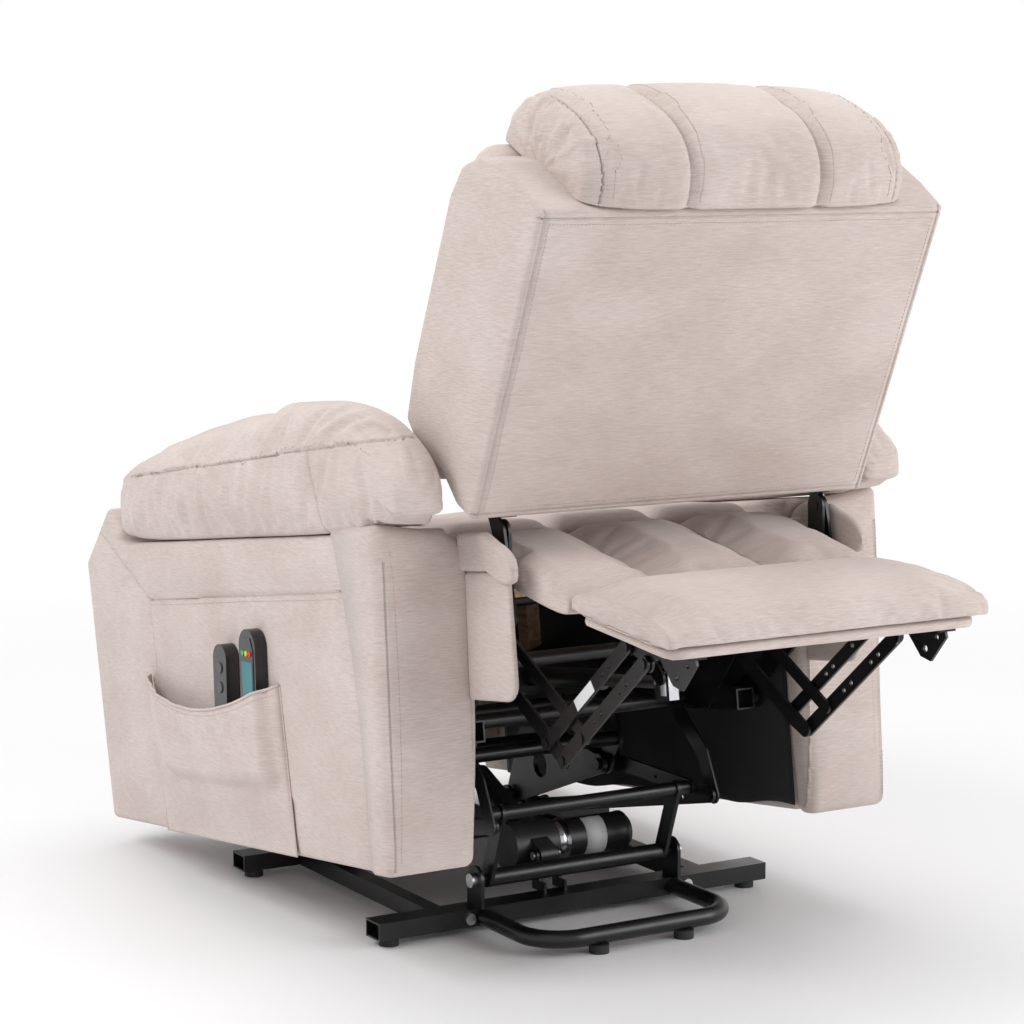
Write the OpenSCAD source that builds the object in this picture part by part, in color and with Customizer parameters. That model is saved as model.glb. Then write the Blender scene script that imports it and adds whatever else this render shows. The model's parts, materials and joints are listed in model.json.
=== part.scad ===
// Lift recliner chair. Millimetres, +X to the right, +Y away from the leg rest, +Z up.
// The origin is on the floor under the middle of the chair.
// The chair is held half way up its lift, with the leg rest out and the back a little down.

/* [Pose at rest] */
// Forward tilt of the seat frame, degrees
seat_tilt = 8; // [4:0.5:12]
// Lean of the backrest from upright, degrees
back_lean = 23.2; // [15:0.2:30]
// Slope of the leg rest, degrees
leg_slope = 4.6; // [0:0.2:8]

/* [Floor base] */
// Half length of the two cross tubes
base_half_len = 325; // [310:5:340]
// Width of a cross tube
base_tube_w = 40; // [36:1:44]
// Height of the base tubes
base_tube_h = 25; // [22:1:28]
// Distance of a side rail from the middle
base_rail_x = 220; // [210:5:230]
// Place of the near cross tube along Y
near_tube_y = -81; // [-85:1:-78]
// Place of the far cross tube along Y
far_tube_y = 348; // [340:1:360]
// Height of the rubber feet
foot_h = 12; // [8:1:16]
// Diameter of the rubber feet
foot_d = 28; // [24:1:32]
// Distance of a corner foot from the middle
foot_x = 300; // [285:1:305]
// Half width of the floor loop, to the tube's middle
loop_half_w = 160; // [150:1:170]
// Reach of the floor loop along Y, to the tube's middle
loop_y = -260; // [-275:1:-245]
// Diameter of the floor loop's tube
loop_d = 25; // [20:1:28]
// Thickness of the bracket plates
plate_t = 5; // [4:0.5:6]

/* [Lift linkage] */
// Length of a lift arm, pivot to pivot
lift_arm_len = 270; // [260:1:280]
// Rise of a lift arm above level, degrees
lift_arm_rise = 21; // [19:0.5:23]
// Width of a lift arm
lift_arm_w = 30; // [26:1:34]
// Thickness of a lift arm
lift_arm_t = 8; // [6:0.5:9]
// Diameter of the pivot pins
pin_d = 12; // [10:0.5:12]
// Diameter of the crank tube that lies in the base brackets
crank_tube_d = 25; // [22:1:28]
// Diameter of the crank's upper tube
mid_tube_d = 20; // [18:1:22]
// Width of the flat links
link_w = 22; // [18:1:24]
// Clearance of a pin in an open pivot
open_gap = 1; // [0.8:0.1:1.5]
// Running clearance of a pin in its hole
fit_gap = 0.05; // [0.02:0.01:0.08]

/* [Lift drive] */
// Diameter of the lift motor
motor_d = 58; // [52:1:60]
// Diameter of the gear housing
gear_d = 70; // [64:1:72]
// Free end of the motor along X
motor_end_x = 138; // [125:1:140]
// Diameter of the spindle tube
spindle_d = 34; // [30:1:36]
// Diameter of the lift rod
rod_d = 22; // [18:1:24]

/* [Seat frame] */
// Height of the chassis rails above the arms' lower edge
rail_z = 150; // [148:1:156]
// Section of the chassis rails
rail_w = 30; // [26:1:30]
// Diameter of the chassis cross tubes
cross_tube_d = 22; // [18:1:24]
// Thickness of the mechanism plates
mech_t = 4; // [3:0.5:4]
// Half width of the seat cushion
seat_half_w = 252; // [246:1:262]
// Height of the seat's timber frame
seat_frame_z = 340; // [338:1:344]
// Height of the middle of the seat above the arms' lower edge
seat_top_z = 452; // [440:1:462]

/* [Arms] */
// Half distance between the arms
arm_inner_x = 275; // [272:1:280]
// Outer face of an arm
arm_outer_x = 403; // [395:1:408]
// Height of the arm body
arm_body_z = 445; // [435:1:450]
// Length of the arm body along its lower edge
arm_len = 891; // [870:1:905]
// Top of the arm pad
pad_top_z = 621; // [605:1:630]
// Thickness of the end panel
end_panel_t = 40; // [34:1:46]
// Wall of the upholstered arm cover
cover_wall = 12; // [10:1:16]

/* [Backrest] */
// Half width of the backrest
back_half_w = 312; // [300:1:313]
// Height of the backrest's flat back
back_h = 430; // [415:1:440]
// Depth of the backrest shell
back_shell_t = 150; // [130:1:165]
// Depth of the whole backrest
back_t = 226; // [205:1:235]
// Half width of the head roll
head_half_w = 238; // [225:1:250]

/* [Leg rest] */
// Half width of the leg rest
leg_half_w = 243; // [235:1:246]
// Near edge of the leg rest, from its hinge
leg_out = 314; // [300:1:320]
// Far edge of the leg rest, from its hinge
leg_in = 101; // [98:1:106]
// Thickness of the leg rest board
leg_board_t = 14; // [10:1:16]
// Half width of the calf pad
calf_half_w = 245; // [238:1:246]

/* [Handsets] */
// Length of the lift handset
wand_len = 172; // [160:1:180]
// Length of the massage handset
remote_len = 194; // [185:1:205]
// Travel of a key
key_travel = 1.2; // [1:0.1:1.4]

/* [Hidden] */
$fn = 48;

steel = [0.09, 0.09, 0.10];
fabric = [0.80, 0.72, 0.67];
cloth_black = [0.10, 0.10, 0.11];
bare_metal = [0.62, 0.62, 0.64];
timber = [0.72, 0.56, 0.38];
black_plastic = [0.07, 0.07, 0.08];

// Floor base
tube_z0 = foot_h;
tube_z1 = foot_h + base_tube_h;
loop_r = 60;
loop_z = foot_h + loop_d/2;
bracket_x = 165;
loop_foot_x = 70;

// Pivots of the lift linkage, as [y, z]
arm_pivot = [335, 75];
link_pivot = [300, 60];
crank_pivot = [-88, 75];
crank_top = [-123, 175];
motor_pivot = [-50, 85];
seat_pivot = arm_pivot + lift_arm_len*[-cos(lift_arm_rise), sin(lift_arm_rise)];
tie_pivot = arm_pivot + crank_top - crank_pivot;
push_pivot = [200, 190];
motor_x = -28;

// Planes of the flat links, as distances from the middle
arm_x = 150;
inner_cheek = 12;                  // from a lift arm to the bracket cheeks beside it
outer_cheek = 10;
hanger_x = 160;
tie_x = 171.5;
guide_x = 180;
guide_hanger_x = 185.5;
lower_x = 192;
upper_x = 198;
side_plate_x = 206;

// Seat frame: its own frame starts at the near lower edge of the arms
chassis_y = -240;
chassis_z = 151;
torque_pivot = [23.6, 255.8];      // lower links of the leg rest
elbow = [-150.9, 132.3];
leg_pin = [-360.2, 263.4];
bar_dir = (leg_pin - elbow)/norm(leg_pin - elbow);
bar_step = [37.4, 21.4];           // from the outer to the inner upper bar
guide_step = 60*bar_dir;           // from a lower link to its guide bar
guide_drop = [73, 29];             // pin of the guide link
back_pivot = [-131.8, 434.9];
leg_pivot = [-370, 560];           // in the chair's frame
back_foot = [-330, 620];           // in the chair's frame
recline_r = 110;
recline_lead = 7;
leg_lever_r = 60;
leg_lever_x = 60;
recline_tube_y = 200;
slope_arm = 28/440;                // lean of the arms' near face

function seat_to_chair(p) = [chassis_y + p[0]*cos(seat_tilt) + p[1]*sin(seat_tilt),
    chassis_z - p[0]*sin(seat_tilt) + p[1]*cos(seat_tilt)];
function chair_to_seat(p) = let (d = p - [chassis_y, chassis_z])
    [d[0]*cos(seat_tilt) - d[1]*sin(seat_tilt), d[0]*sin(seat_tilt) + d[1]*cos(seat_tilt)];
function turn(p, a) = [p[0]*cos(a) - p[1]*sin(a), p[0]*sin(a) + p[1]*cos(a)];
function chair_to_leg(p) = turn(p - leg_pivot, -leg_slope);
function chair_to_back(p) = turn(p - back_foot, -back_lean);

push_dir = (push_pivot - motor_pivot)/norm(push_pivot - motor_pivot);
push_angle = atan2(push_dir[1], push_dir[0]);
push_len = norm(push_pivot - motor_pivot);
seat_pin = chair_to_seat(seat_pivot);
lever_tip = back_pivot + recline_r*[-sin(recline_lead), -cos(recline_lead)];
leg_tip = torque_pivot + leg_lever_r*[-sin(45), -cos(45)];

// Frames of the moving groups
module in_seat() translate([0, chassis_y, chassis_z]) rotate([-seat_tilt, 0, 0]) children();
module in_back() translate([0, back_foot[0], back_foot[1]]) rotate([back_lean, 0, 0]) children();
module in_leg() translate([0, leg_pivot[0], leg_pivot[1]]) rotate([leg_slope, 0, 0]) children();
module in_push() translate([motor_x, motor_pivot[0], motor_pivot[1]]) rotate([push_angle, 0, 0])
    children();
module both() {
    children();
    mirror([1, 0, 0]) children();
}

// Flat work: outlines are drawn as [y, z] and get their thickness along X
module slab(x0, x1) translate([x0, 0, 0]) rotate([90, 0, 90]) linear_extrude(x1 - x0) children();
module plate(x, t) slab(x - t/2, x + t/2) children();
module at(p) translate([p[0], p[1]]) children();
// The sides lie a hair inside the round ends, so that no edge is tangent to another
bar_inset = 0.06;
module bar(a, b, w) {
    d = b - a;
    at(a) circle(d = w);
    at(b) circle(d = w);
    at(a) rotate(atan2(d[1], d[0])) translate([0, bar_inset - w/2]) square([norm(d), w - 2*bar_inset]);
}
module strip(points, w) for (i = [0:len(points) - 2]) bar(points[i], points[i + 1], w);
module hole(p, d) at(p) circle(d = d);
module rod_x(p, x0, x1, d) translate([x0, p[0], p[1]]) rotate([0, 90, 0]) cylinder(d = d, h = x1 - x0);
module block(low, high) translate(low) cube(high - low);

// A link with a hole at each end and lightening holes between them
module link(a, b, w, hole_a, hole_b, spots = [])
    difference() {
        bar(a, b, w);
        if (hole_a > 0) hole(a, hole_a);
        if (hole_b > 0) hole(b, hole_b);
        for (s = spots) hole(a + s*(b - a), w*0.36);
    }

// A soft form through closed rings of equal length, capped at both ends
module loft(rings) {
    n = len(rings[0]);
    m = len(rings);
    mid = function (r) [for (k = [0:2]) let (s = [for (p = r) p[k]]) s*[for (p = r) 1/n]];
    sides = [for (i = [0:m - 2], j = [0:n - 1])
        let (a = i*n + j, b = i*n + (j + 1)%n) each [[a, b, b + n], [a, b + n, a + n]]];
    caps = [for (j = [0:n - 1]) let (k = (j + 1)%n) each
        [[m*n, k, j], [m*n + 1, (m - 1)*n + j, (m - 1)*n + k]]];
    polyhedron(points = concat([for (r = rings) each r], [mid(rings[0]), mid(rings[m - 1])]),
        faces = concat(sides, caps), convexity = 6);
}
function pw(v, e) = sign(v)*pow(abs(v), e);
function dent(v, at, width) = exp(-pow((v - at)/width, 2));
function dents(v, list, width) = len(list) == 0 ? 0 : max([for (c = list) dent(v, c, width)]);
function round_end(s, e) = pow(max(0, 1 - pow(abs(s), e)), 1/e);
function ease(v) = let (u = min(1, max(0, v))) u*u*(3 - 2*u);
// One closed section: half sizes a and up (above) or down (below), squareness e
function section(n, a, up, down, e) = [for (i = [0:n - 1]) let (t = 360*(i + 0.5)/n)
    [a*pw(cos(t), 2/e), (sin(t) > 0 ? up : down)*pw(sin(t), 2/e)]];
// Stations from -1 to 1, closer together near the ends
function stations(n) = [for (i = [0:n]) let (t = -90 + 180*i/n) 0.985*(0.45*sin(t) + 0.55*t/90)];

// ---------------------------------------------------------------- floor base
module base_cross_tubes() color(steel)
    for (y = [near_tube_y, far_tube_y])
        difference() {
            block([-base_half_len, y - base_tube_w/2, tube_z0], [base_half_len, y + base_tube_w/2, tube_z1]);
            for (s = [-1, 1]) translate([s*(base_half_len + 1), y, (tube_z0 + tube_z1)/2])
                cube([32, base_tube_w - 5, base_tube_h - 5], center = true);
        }

module base_rails() color(steel)
    both() block([base_rail_x - base_tube_h/2, near_tube_y + base_tube_w/2, tube_z0],
        [base_rail_x + base_tube_h/2, far_tube_y - base_tube_w/2, tube_z1]);

module floor_loop() color(steel) {
    y1 = near_tube_y - base_tube_w/2;
    both() {
        translate([loop_half_w, loop_y + loop_r, loop_z]) rotate([-90, 0, 0])
            cylinder(d = loop_d, h = y1 - loop_y - loop_r);
        translate([loop_half_w - loop_r, loop_y + loop_r, loop_z]) rotate([0, 0, -90])
            rotate_extrude(angle = 90) translate([loop_r, 0]) circle(d = loop_d);
    }
    translate([-(loop_half_w - loop_r), loop_y, loop_z]) rotate([0, 90, 0])
        cylinder(d = loop_d, h = 2*(loop_half_w - loop_r));
}

module near_brackets()
    both() plate(bracket_x, plate_t) difference() {
        union() {
            bar(crank_pivot, crank_pivot - [0, 42], 40);
            at([crank_pivot[0] - 20, tube_z1]) square([40, 12]);
        }
        at([-200, -50]) square([400, 50 + tube_z1]);
        hole(crank_pivot, pin_d + 2*fit_gap);
    }

module far_brackets()
    both() for (x = [arm_x - inner_cheek, arm_x + outer_cheek, tie_x, guide_hanger_x + 1.5])
        plate(x, x < tie_x ? plate_t : mech_t) {
            pivot = x < tie_x ? arm_pivot : link_pivot;
            difference() {
                union() {
                    bar(pivot, [far_tube_y - 8, tube_z1 + 6], 30);
                    at([far_tube_y - 23, tube_z1]) square([34, 14]);
                }
                at([-200, -50]) square([800, 50 + tube_z1]);
                hole(pivot, x < tie_x ? pin_d : pin_d + 2*fit_gap);
            }
        }

module base_brackets() color(steel) {
    near_brackets();
    far_brackets();
}

module foot(x, y) translate([x, y, 0]) difference() {
    cylinder(d = foot_d, h = foot_h);
    translate([0, 0, foot_h - 4]) cylinder(d = 9, h = 5);
}
module base_feet() color([0.05, 0.05, 0.05]) {
    for (x = [-foot_x, foot_x], y = [near_tube_y, far_tube_y]) foot(x, y);
    for (x = [-loop_foot_x, loop_foot_x]) foot(x, loop_y);
}

module base_bolts() color(bare_metal) {
    both() {
        rod_x(crank_pivot, bracket_x + plate_t/2, bracket_x + plate_t/2 + 8, 20);
        rod_x(arm_pivot, arm_x - inner_cheek - plate_t/2 - 6, arm_x - inner_cheek - plate_t/2, 20);
        rod_x(arm_pivot, arm_x - inner_cheek - plate_t/2, arm_x + outer_cheek + plate_t/2, pin_d);
        rod_x(arm_pivot, arm_x + outer_cheek + plate_t/2, arm_x + outer_cheek + plate_t/2 + 5, 18);
        translate([loop_half_w + loop_d/2 + 10, near_tube_y - base_tube_w/2 - 5, tube_z0 + base_tube_h/2])
            rotate([-90, 0, 0]) cylinder(d = 16, h = 5);
    }
    rod_x(motor_pivot, motor_x - 22, motor_x + 22, pin_d);
}

module motor_mount() color(steel)
    for (s = [-1, 1]) plate(motor_x + s*17, 4) difference() {
        union() {
            bar(motor_pivot, [near_tube_y + 26, tube_z1 + 8], 20);
            at([near_tube_y + 2, tube_z1]) square([34, 14]);
        }
        at([-200, -50]) square([400, 50 + tube_z1]);
        hole(motor_pivot, pin_d);
    }

// ---------------------------------------------------------------- lift linkage
module lift_arm_plates() color(steel) {
    both() plate(arm_x, lift_arm_t) difference() {
        union() {
            bar(arm_pivot, seat_pivot, lift_arm_w);
            bar(arm_pivot, tie_pivot, lift_arm_w);
            bar(tie_pivot, push_pivot, lift_arm_w);
            bar(push_pivot, seat_pivot, lift_arm_w*0.8);
            polygon([arm_pivot, tie_pivot, push_pivot, seat_pivot]);
        }
        hole([250, 138], 40);
        hole(arm_pivot, pin_d + 2*fit_gap);
        hole(seat_pivot, pin_d + 2*fit_gap);
        hole(tie_pivot, pin_d);
        hole(push_pivot, crank_tube_d);
    }
    both() {
        rod_x(tie_pivot, arm_x - lift_arm_t/2, tie_x + plate_t/2 + 2, pin_d);
        rod_x(tie_pivot, tie_x + plate_t/2 + 0.3, tie_x + plate_t/2 + 2.3, pin_d + 6);
    }
}

module lift_torque_tube() color(steel)
    rod_x(push_pivot, -arm_x - lift_arm_t/2, arm_x + lift_arm_t/2, crank_tube_d);

module near_crank() color(steel) {
    crank_x = 146;
    rod_x(crank_pivot, -crank_x + 3, crank_x - 3, crank_tube_d);
    rod_x(crank_top, -bracket_x - 2, bracket_x + 2, mid_tube_d);
    both() {
        plate(crank_x, 6) bar(crank_pivot, crank_top, 26);
        rod_x(crank_pivot, crank_x, bracket_x + plate_t/2 - 0.3, pin_d);
        rod_x(crank_top, crank_x, tie_x + plate_t/2 + 2, pin_d);
        rod_x(crank_top, tie_x + plate_t/2 + 0.3, tie_x + plate_t/2 + 2.3, pin_d + 6);
    }
}

module tie_links() color(steel)
    both() plate(tie_x, plate_t)
        link(crank_top, tie_pivot, link_w, pin_d + 2*fit_gap, pin_d + 0.6, [0.2, 0.5, 0.8]);

module guide_links() color(steel)
    both() {
        plate(guide_x, mech_t) link(link_pivot, seat_to_chair(guide_drop), link_w, pin_d,
            10 + 2*open_gap, [0.15, 0.5, 0.85]);
        rod_x(link_pivot, tie_x - mech_t/2 - 2, guide_hanger_x + 5, pin_d);
    }

// The lift drive lies along its own Y axis, from its clevis to the lift arms
gear_y = 46;
gear_z = -14;
module lift_gearbox() color([0.42, 0.42, 0.44]) in_push()
    difference() {
        union() {
            slab(-14, 14) bar([0, 0], [gear_y, 0], 26);
            rod_x([gear_y, gear_z], -38, 34, gear_d);
            translate([0, gear_y, 0]) rotate([-90, 0, 0]) cylinder(d = spindle_d + 8, h = 38);
        }
        rod_x([0, 0], -20, 20, pin_d + 2*fit_gap);
        translate([0, gear_y + 30, 0]) rotate([-90, 0, 0]) cylinder(d = spindle_d, h = 60);
    }

module lift_motor() color(black_plastic) in_push() {
    rod_x([gear_y, gear_z], 34, motor_end_x - motor_x - 6, motor_d);
    rod_x([gear_y, gear_z], motor_end_x - motor_x - 6, motor_end_x - motor_x, motor_d - 12);
}

spindle_len = 130;
rod_y = gear_y + 78;
module spindle_tube() color(black_plastic) in_push()
    translate([0, gear_y + 30, 0]) rotate([-90, 0, 0]) difference() {
        cylinder(d = spindle_d, h = spindle_len);
        translate([0, 0, 8]) cylinder(d = rod_d + 1, h = spindle_len);
    }

// Pushes the torque tube with an open jaw, so it can't pull the chair down
jaw_seat = 0.3;
jaw_over = 1.2;
jaw_under = 10;
jaw_t = 10;
module lift_rod() color(bare_metal) in_push() {
    r = crank_tube_d/2;
    translate([0, rod_y, 0]) rotate([-90, 0, 0])
        cylinder(d = rod_d, h = push_len - rod_y - r - jaw_seat - jaw_t);
    slab(-15, 15) difference() {
        at([push_len - r - jaw_seat - jaw_t, -r - jaw_under - jaw_t])
            square([r + jaw_t + 4, 2*r + jaw_under + jaw_over + 2*jaw_t]);
        at([push_len - r - jaw_seat, -r - jaw_under]) square([200, 2*r + jaw_under + jaw_over]);
    }
}

// ---------------------------------------------------------------- seat frame
rail_y0 = 30;
rail_y1 = 800;
near_cross = [165, 165];
drop_cross = [283, 105];
mid_cross = [300, rail_z + 15];
far_cross = [640, rail_z + 15];
end_cross = [785, rail_z + 15];

module chassis_rails() color(steel) in_seat() both()
    difference() {
        block([side_plate_x + mech_t/2, rail_y0, rail_z], [side_plate_x + mech_t/2 + rail_w, rail_y1, rail_z + rail_w]);
        translate([side_plate_x + mech_t/2 + 2.5, rail_y0 - 1, rail_z + 2.5])
            cube([rail_w - 5, 25, rail_w - 5]);
    }

module chassis_side_plates() color(steel) in_seat() both()
    plate(side_plate_x, mech_t) difference() {
        union() {
            bar(torque_pivot, torque_pivot + guide_step, 40);
            bar(torque_pivot, [120, 200], 40);
            polygon([[4, 250], [100, 150], [620, 150], [620, 215], [300, 300], [20, 276]]);
            bar([300, 286], [600, 210], 28);
        }
        hole(torque_pivot, 16 + 2*fit_gap);
        hole(torque_pivot + guide_step, 10 + 2*fit_gap);
        for (i = [0:3]) hole([190 + 90*i, 205], 34);
    }

module chassis_cross_tubes() color(steel) in_seat() {
    for (p = [near_cross, mid_cross])
        rod_x(p, -side_plate_x + mech_t/2, side_plate_x - mech_t/2, cross_tube_d);
    for (p = [far_cross, end_cross])
        rod_x(p, -side_plate_x - mech_t/2, side_plate_x + mech_t/2, cross_tube_d);
    rod_x(drop_cross, -hanger_x + 3, hanger_x - 3, cross_tube_d);
}

module link_hangers() color(steel) in_seat() {
    both() {
        plate(hanger_x, 6) difference() {
            strip([seat_pin, drop_cross, mid_cross], 32);
            hole(seat_pin, pin_d);
            hole(mid_cross, cross_tube_d);
        }
        rod_x(seat_pin, arm_x - lift_arm_t/2 - 2, hanger_x + 3, pin_d);
        rod_x(seat_pin, arm_x - lift_arm_t/2 - 5, arm_x - lift_arm_t/2 - 0.5, pin_d + 6);
        plate(guide_hanger_x, 3) difference() {
            strip([guide_drop, guide_drop + [20, 60], near_cross], 26);
            hole(near_cross, cross_tube_d);
        }
        rod_x(guide_drop, guide_x - mech_t/2 - 2, guide_hanger_x, 10);
    }
}

module arm_mount_brackets() color(steel) in_seat() both()
    for (y = [110, 330, 560, 740])
        block([side_plate_x + mech_t/2 + rail_w, y, rail_z + 4], [arm_inner_x - 4, y + 40, rail_z + rail_w - 4]);

post_x = 251.5;
lever_x = 258;
push_x = lever_x + 6;
module back_hinge_posts() color(steel) in_seat() both() {
    plate(post_x, mech_t) difference() {
        union() {
            strip([back_pivot, [-118, 300], [40, rail_z + 40], [90, rail_z + 15]], 34);
            bar([90, rail_z + 15], [40, rail_z + 15], 30);
        }
        hole(back_pivot, pin_d + 2*fit_gap);
    }
    for (y = [45, 90]) rod_x([y, rail_z + 15], side_plate_x + mech_t/2 + rail_w, post_x - mech_t/2, 20);
    block([post_x, -130, 288], [push_x + 5.2, -106, 299]);
}

frame_y0 = 40;
frame_y1 = 812;
module seat_frame() color(timber) in_seat() {
    both() block([seat_half_w - 42, frame_y0, seat_frame_z], [seat_half_w - 6, frame_y1, seat_frame_z + 30]);
    for (y = [frame_y0, frame_y1 - 24])
        block([-seat_half_w + 42.2, y, seat_frame_z], [seat_half_w - 42.2, y + 24, seat_frame_z + 30]);
    both() for (y = [330, 600])
        block([side_plate_x + 2.5, y, rail_z + rail_w], [side_plate_x + 26, y + 30, seat_frame_z]);
}

spring_d = 4;
module seat_springs() color([0.3, 0.3, 0.32]) in_seat()
    for (i = [-2:2]) {
        x = i*76;
        step = 44;
        n = 15;
        z = seat_frame_z + 28 - spring_d/2 - 1;
        for (k = [0:n - 1]) {
            s = k%2 == 0 ? 1 : -1;
            translate([x, frame_y0 + 64 + k*step, z]) rotate([0, 0, s > 0 ? -90 : 90])
                rotate_extrude(angle = 180, $fn = 24) translate([step/2, 0]) circle(d = spring_d, $fn = 16);
        }
        for (y = [frame_y0 + 24, frame_y0 + 42 + n*step])
            translate([x, y, z]) rotate([-90, 0, 0])
                cylinder(d = spring_d, h = y < 300 ? 18 : frame_y1 - 24 - y, $fn = 16);
    }

seat_y0 = 6;
seat_y1 = 812;
module seat_cushion() color(fabric) in_seat() {
    ym = (seat_y0 + seat_y1)/2;
    half = (seat_y1 - seat_y0)/2;
    base_z = seat_frame_z + 30.3;
    edge = 34;
    loft([for (s = stations(22)) let (x = s*seat_half_w, f = round_end(s, 5))
        [for (p = section(24, half*(0.975 + 0.025*f), seat_top_z - base_z - edge, edge, 4))
            let (pinch = 1 - 0.16*dents(x, [-84, 84], 16), edge_drop = 1 - 0.55*(1 - f))
            [x, ym + p[0], base_z + edge + p[1]*(p[1] > 0 ? pinch*edge_drop : 1)]]]);
}

module front_apron() color(fabric) in_seat()
    slab(-arm_inner_x + 0.5, arm_inner_x - 0.5) difference() {
        union() {
            polygon([[822, 60], [858, 60], [868, 380], [846, 424], [822, 424]]);
            at([846, 402]) circle(d = 44);
        }
        at([600, 0]) square([215, 600]);
    }

// ---------------------------------------------------------------- arms
arm_toe_z = 13;                     // the lower edge rises this much towards the far end
arm_flare = 35;                     // the far edge leans out this much
arm_far_z = 419;
arm_peak_z = 503;
arm_step_y = 782;
module arm_profile(inset)
    polygon([[inset, inset], [arm_len - inset, inset + arm_toe_z], [arm_len + arm_flare - inset, arm_far_z - inset/2],
        [arm_len - 68 - inset/2, arm_peak_z - inset], [arm_step_y + inset, arm_body_z + 18 - inset],
        [arm_step_y + inset, arm_body_z - inset], [-slope_arm*arm_body_z + inset, arm_body_z - inset]]);
module arm_cover() in_seat() difference() {
    slab(arm_inner_x, arm_outer_x) arm_profile(0);
    slab(arm_inner_x + cover_wall, arm_outer_x - cover_wall) arm_profile(cover_wall);
}
module arm_left_cover() color(fabric) mirror([1, 0, 0]) arm_cover();
module arm_right_cover() color(fabric) arm_cover();

// Softwood boards that stiffen the arms from inside
module arm_frames() color(timber) in_seat() both() {
    x0 = arm_inner_x + cover_wall;
    x1 = arm_outer_x - cover_wall;
    board_z = arm_toe_z + cover_wall + 1;
    block([x0, 24, board_z], [x1, arm_len - 24, board_z + 22]);
    block([x0, 0, arm_body_z - cover_wall - 22], [x1, arm_len - 260, arm_body_z - cover_wall]);
    for (y = [30, 330, 600])
        block([x0 + 30, y, board_z + 22], [x1 - 30, y + 24, arm_body_z - cover_wall - 22]);
    block([x0 + 30, arm_len - 60, board_z + 22], [x1 - 30, arm_len - 36, arm_body_z - 60]);
}

pad_y0 = -136;
pad_y1 = 780;
pad_outer_x = 412;
pad_peak_y = 121;
function pad_top(y) = y < pad_peak_y
    ? arm_body_z + 62 + (pad_top_z - arm_body_z - 62)*round_end((pad_peak_y - y)/(pad_peak_y - pad_y0), 2.4)
    : pad_top_z - 62*pow((y - pad_peak_y)/(pad_y1 - pad_peak_y), 1.5);
function pad_inner(y) = 320 - 32*ease((y - 190)/140);
module arm_pad() in_seat() {
    ym = (pad_y0 + pad_y1)/2;
    half = (pad_y1 - pad_y0)/2;
    loft([for (s = stations(26))
        let (y = ym + s*half, f = round_end(s, s < 0 ? 4.2 : 5),
             floor_z = arm_body_z + 0.4 + 14*ease((-62 - y)/60),
             top = max(pad_top(y), floor_z + 8), mid = floor_z + 0.42*(top - floor_z),
             x0 = pad_inner(y), x1 = pad_outer_x, xm = (x0 + x1)/2, w = (x1 - x0)/2)
        [for (p = section(24, w*(0.45 + 0.55*f), (top - mid)*(0.3 + 0.7*f), (mid - floor_z)*(0.25 + 0.75*f), 3))
            [xm + p[0], y, max(floor_z, mid + p[1])]]]);
}
module arm_left_pad() color(fabric) mirror([1, 0, 0]) arm_pad();
module arm_right_pad() color(fabric) arm_pad();

panel_in_x = 268;
panel_out_x = 398;
panel_z0 = -4;
panel_z1 = 440;
// Padded panel on the near end of an arm; its top rises towards the outside
module end_panel() in_seat() {
    xm = (panel_in_x + panel_out_x)/2;
    half = (panel_out_x - panel_in_x)/2;
    loft([for (s = stations(16)) let (v = (s + 1)/2, z = panel_z0 + v*(panel_z1 - panel_z0),
            f = round_end(s, 9), narrow = 17*pow(v, 6), back = -slope_arm*z - 0.4)
        [for (p = section(20, half - narrow/2, end_panel_t*0.62, end_panel_t*0.38, 5))
            [xm + narrow/2 + p[0]*(0.8 + 0.2*f), back - end_panel_t*0.38 - p[1]*(0.4 + 0.6*f), z]]]);
}
module arm_left_end_panel() color(fabric) mirror([1, 0, 0]) end_panel();
module arm_right_end_panel() color(fabric) end_panel();

module arm_linings() color(cloth_black) in_seat() both()
    slab(arm_inner_x - 4, arm_inner_x - 0.5)
        polygon([[4, 6], [810, 14], [810, 330], [-15, 330]]);

pocket_y0 = 224;
pocket_y1 = 650;
pocket_gap = 26;
pocket_wall = 4;
pocket_mouth = 240;
pocket_floor = 126;
pocket_hem = 6;
// Open pocket on the outside of the left arm: it has a sagging mouth and is sewn shut half way down
module side_pocket() color(fabric) in_seat() difference() {
    x1 = -arm_outer_x - 0.3;
    x0 = -arm_outer_x - pocket_gap - pocket_wall;
    translate([0, pocket_y1, 0]) rotate([90, 0, 0]) linear_extrude(pocket_y1 - pocket_y0)
        polygon([[x1, pocket_hem], [x1 - 5, pocket_hem], [x0, pocket_floor], [x0, pocket_mouth], [x1, pocket_mouth]]);
    slab(x0 - 1, x1 + 1)
        at([(pocket_y0 + pocket_y1)/2 - 6, pocket_mouth + 560]) circle(r = 600, $fn = 120);
    block([-arm_outer_x - pocket_gap, pocket_y0 + 5, pocket_floor], [x1 + 1, pocket_y1 - 5, pocket_mouth + 1]);
}

flap_x = push_x + 5.5;
flap_low = 216;
flap_corner = 22;
wing_edge = -67.6;                  // the far end of the wing stops short of the end panel
front_flap_x = post_x - mech_t/2 - 0.3;
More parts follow.
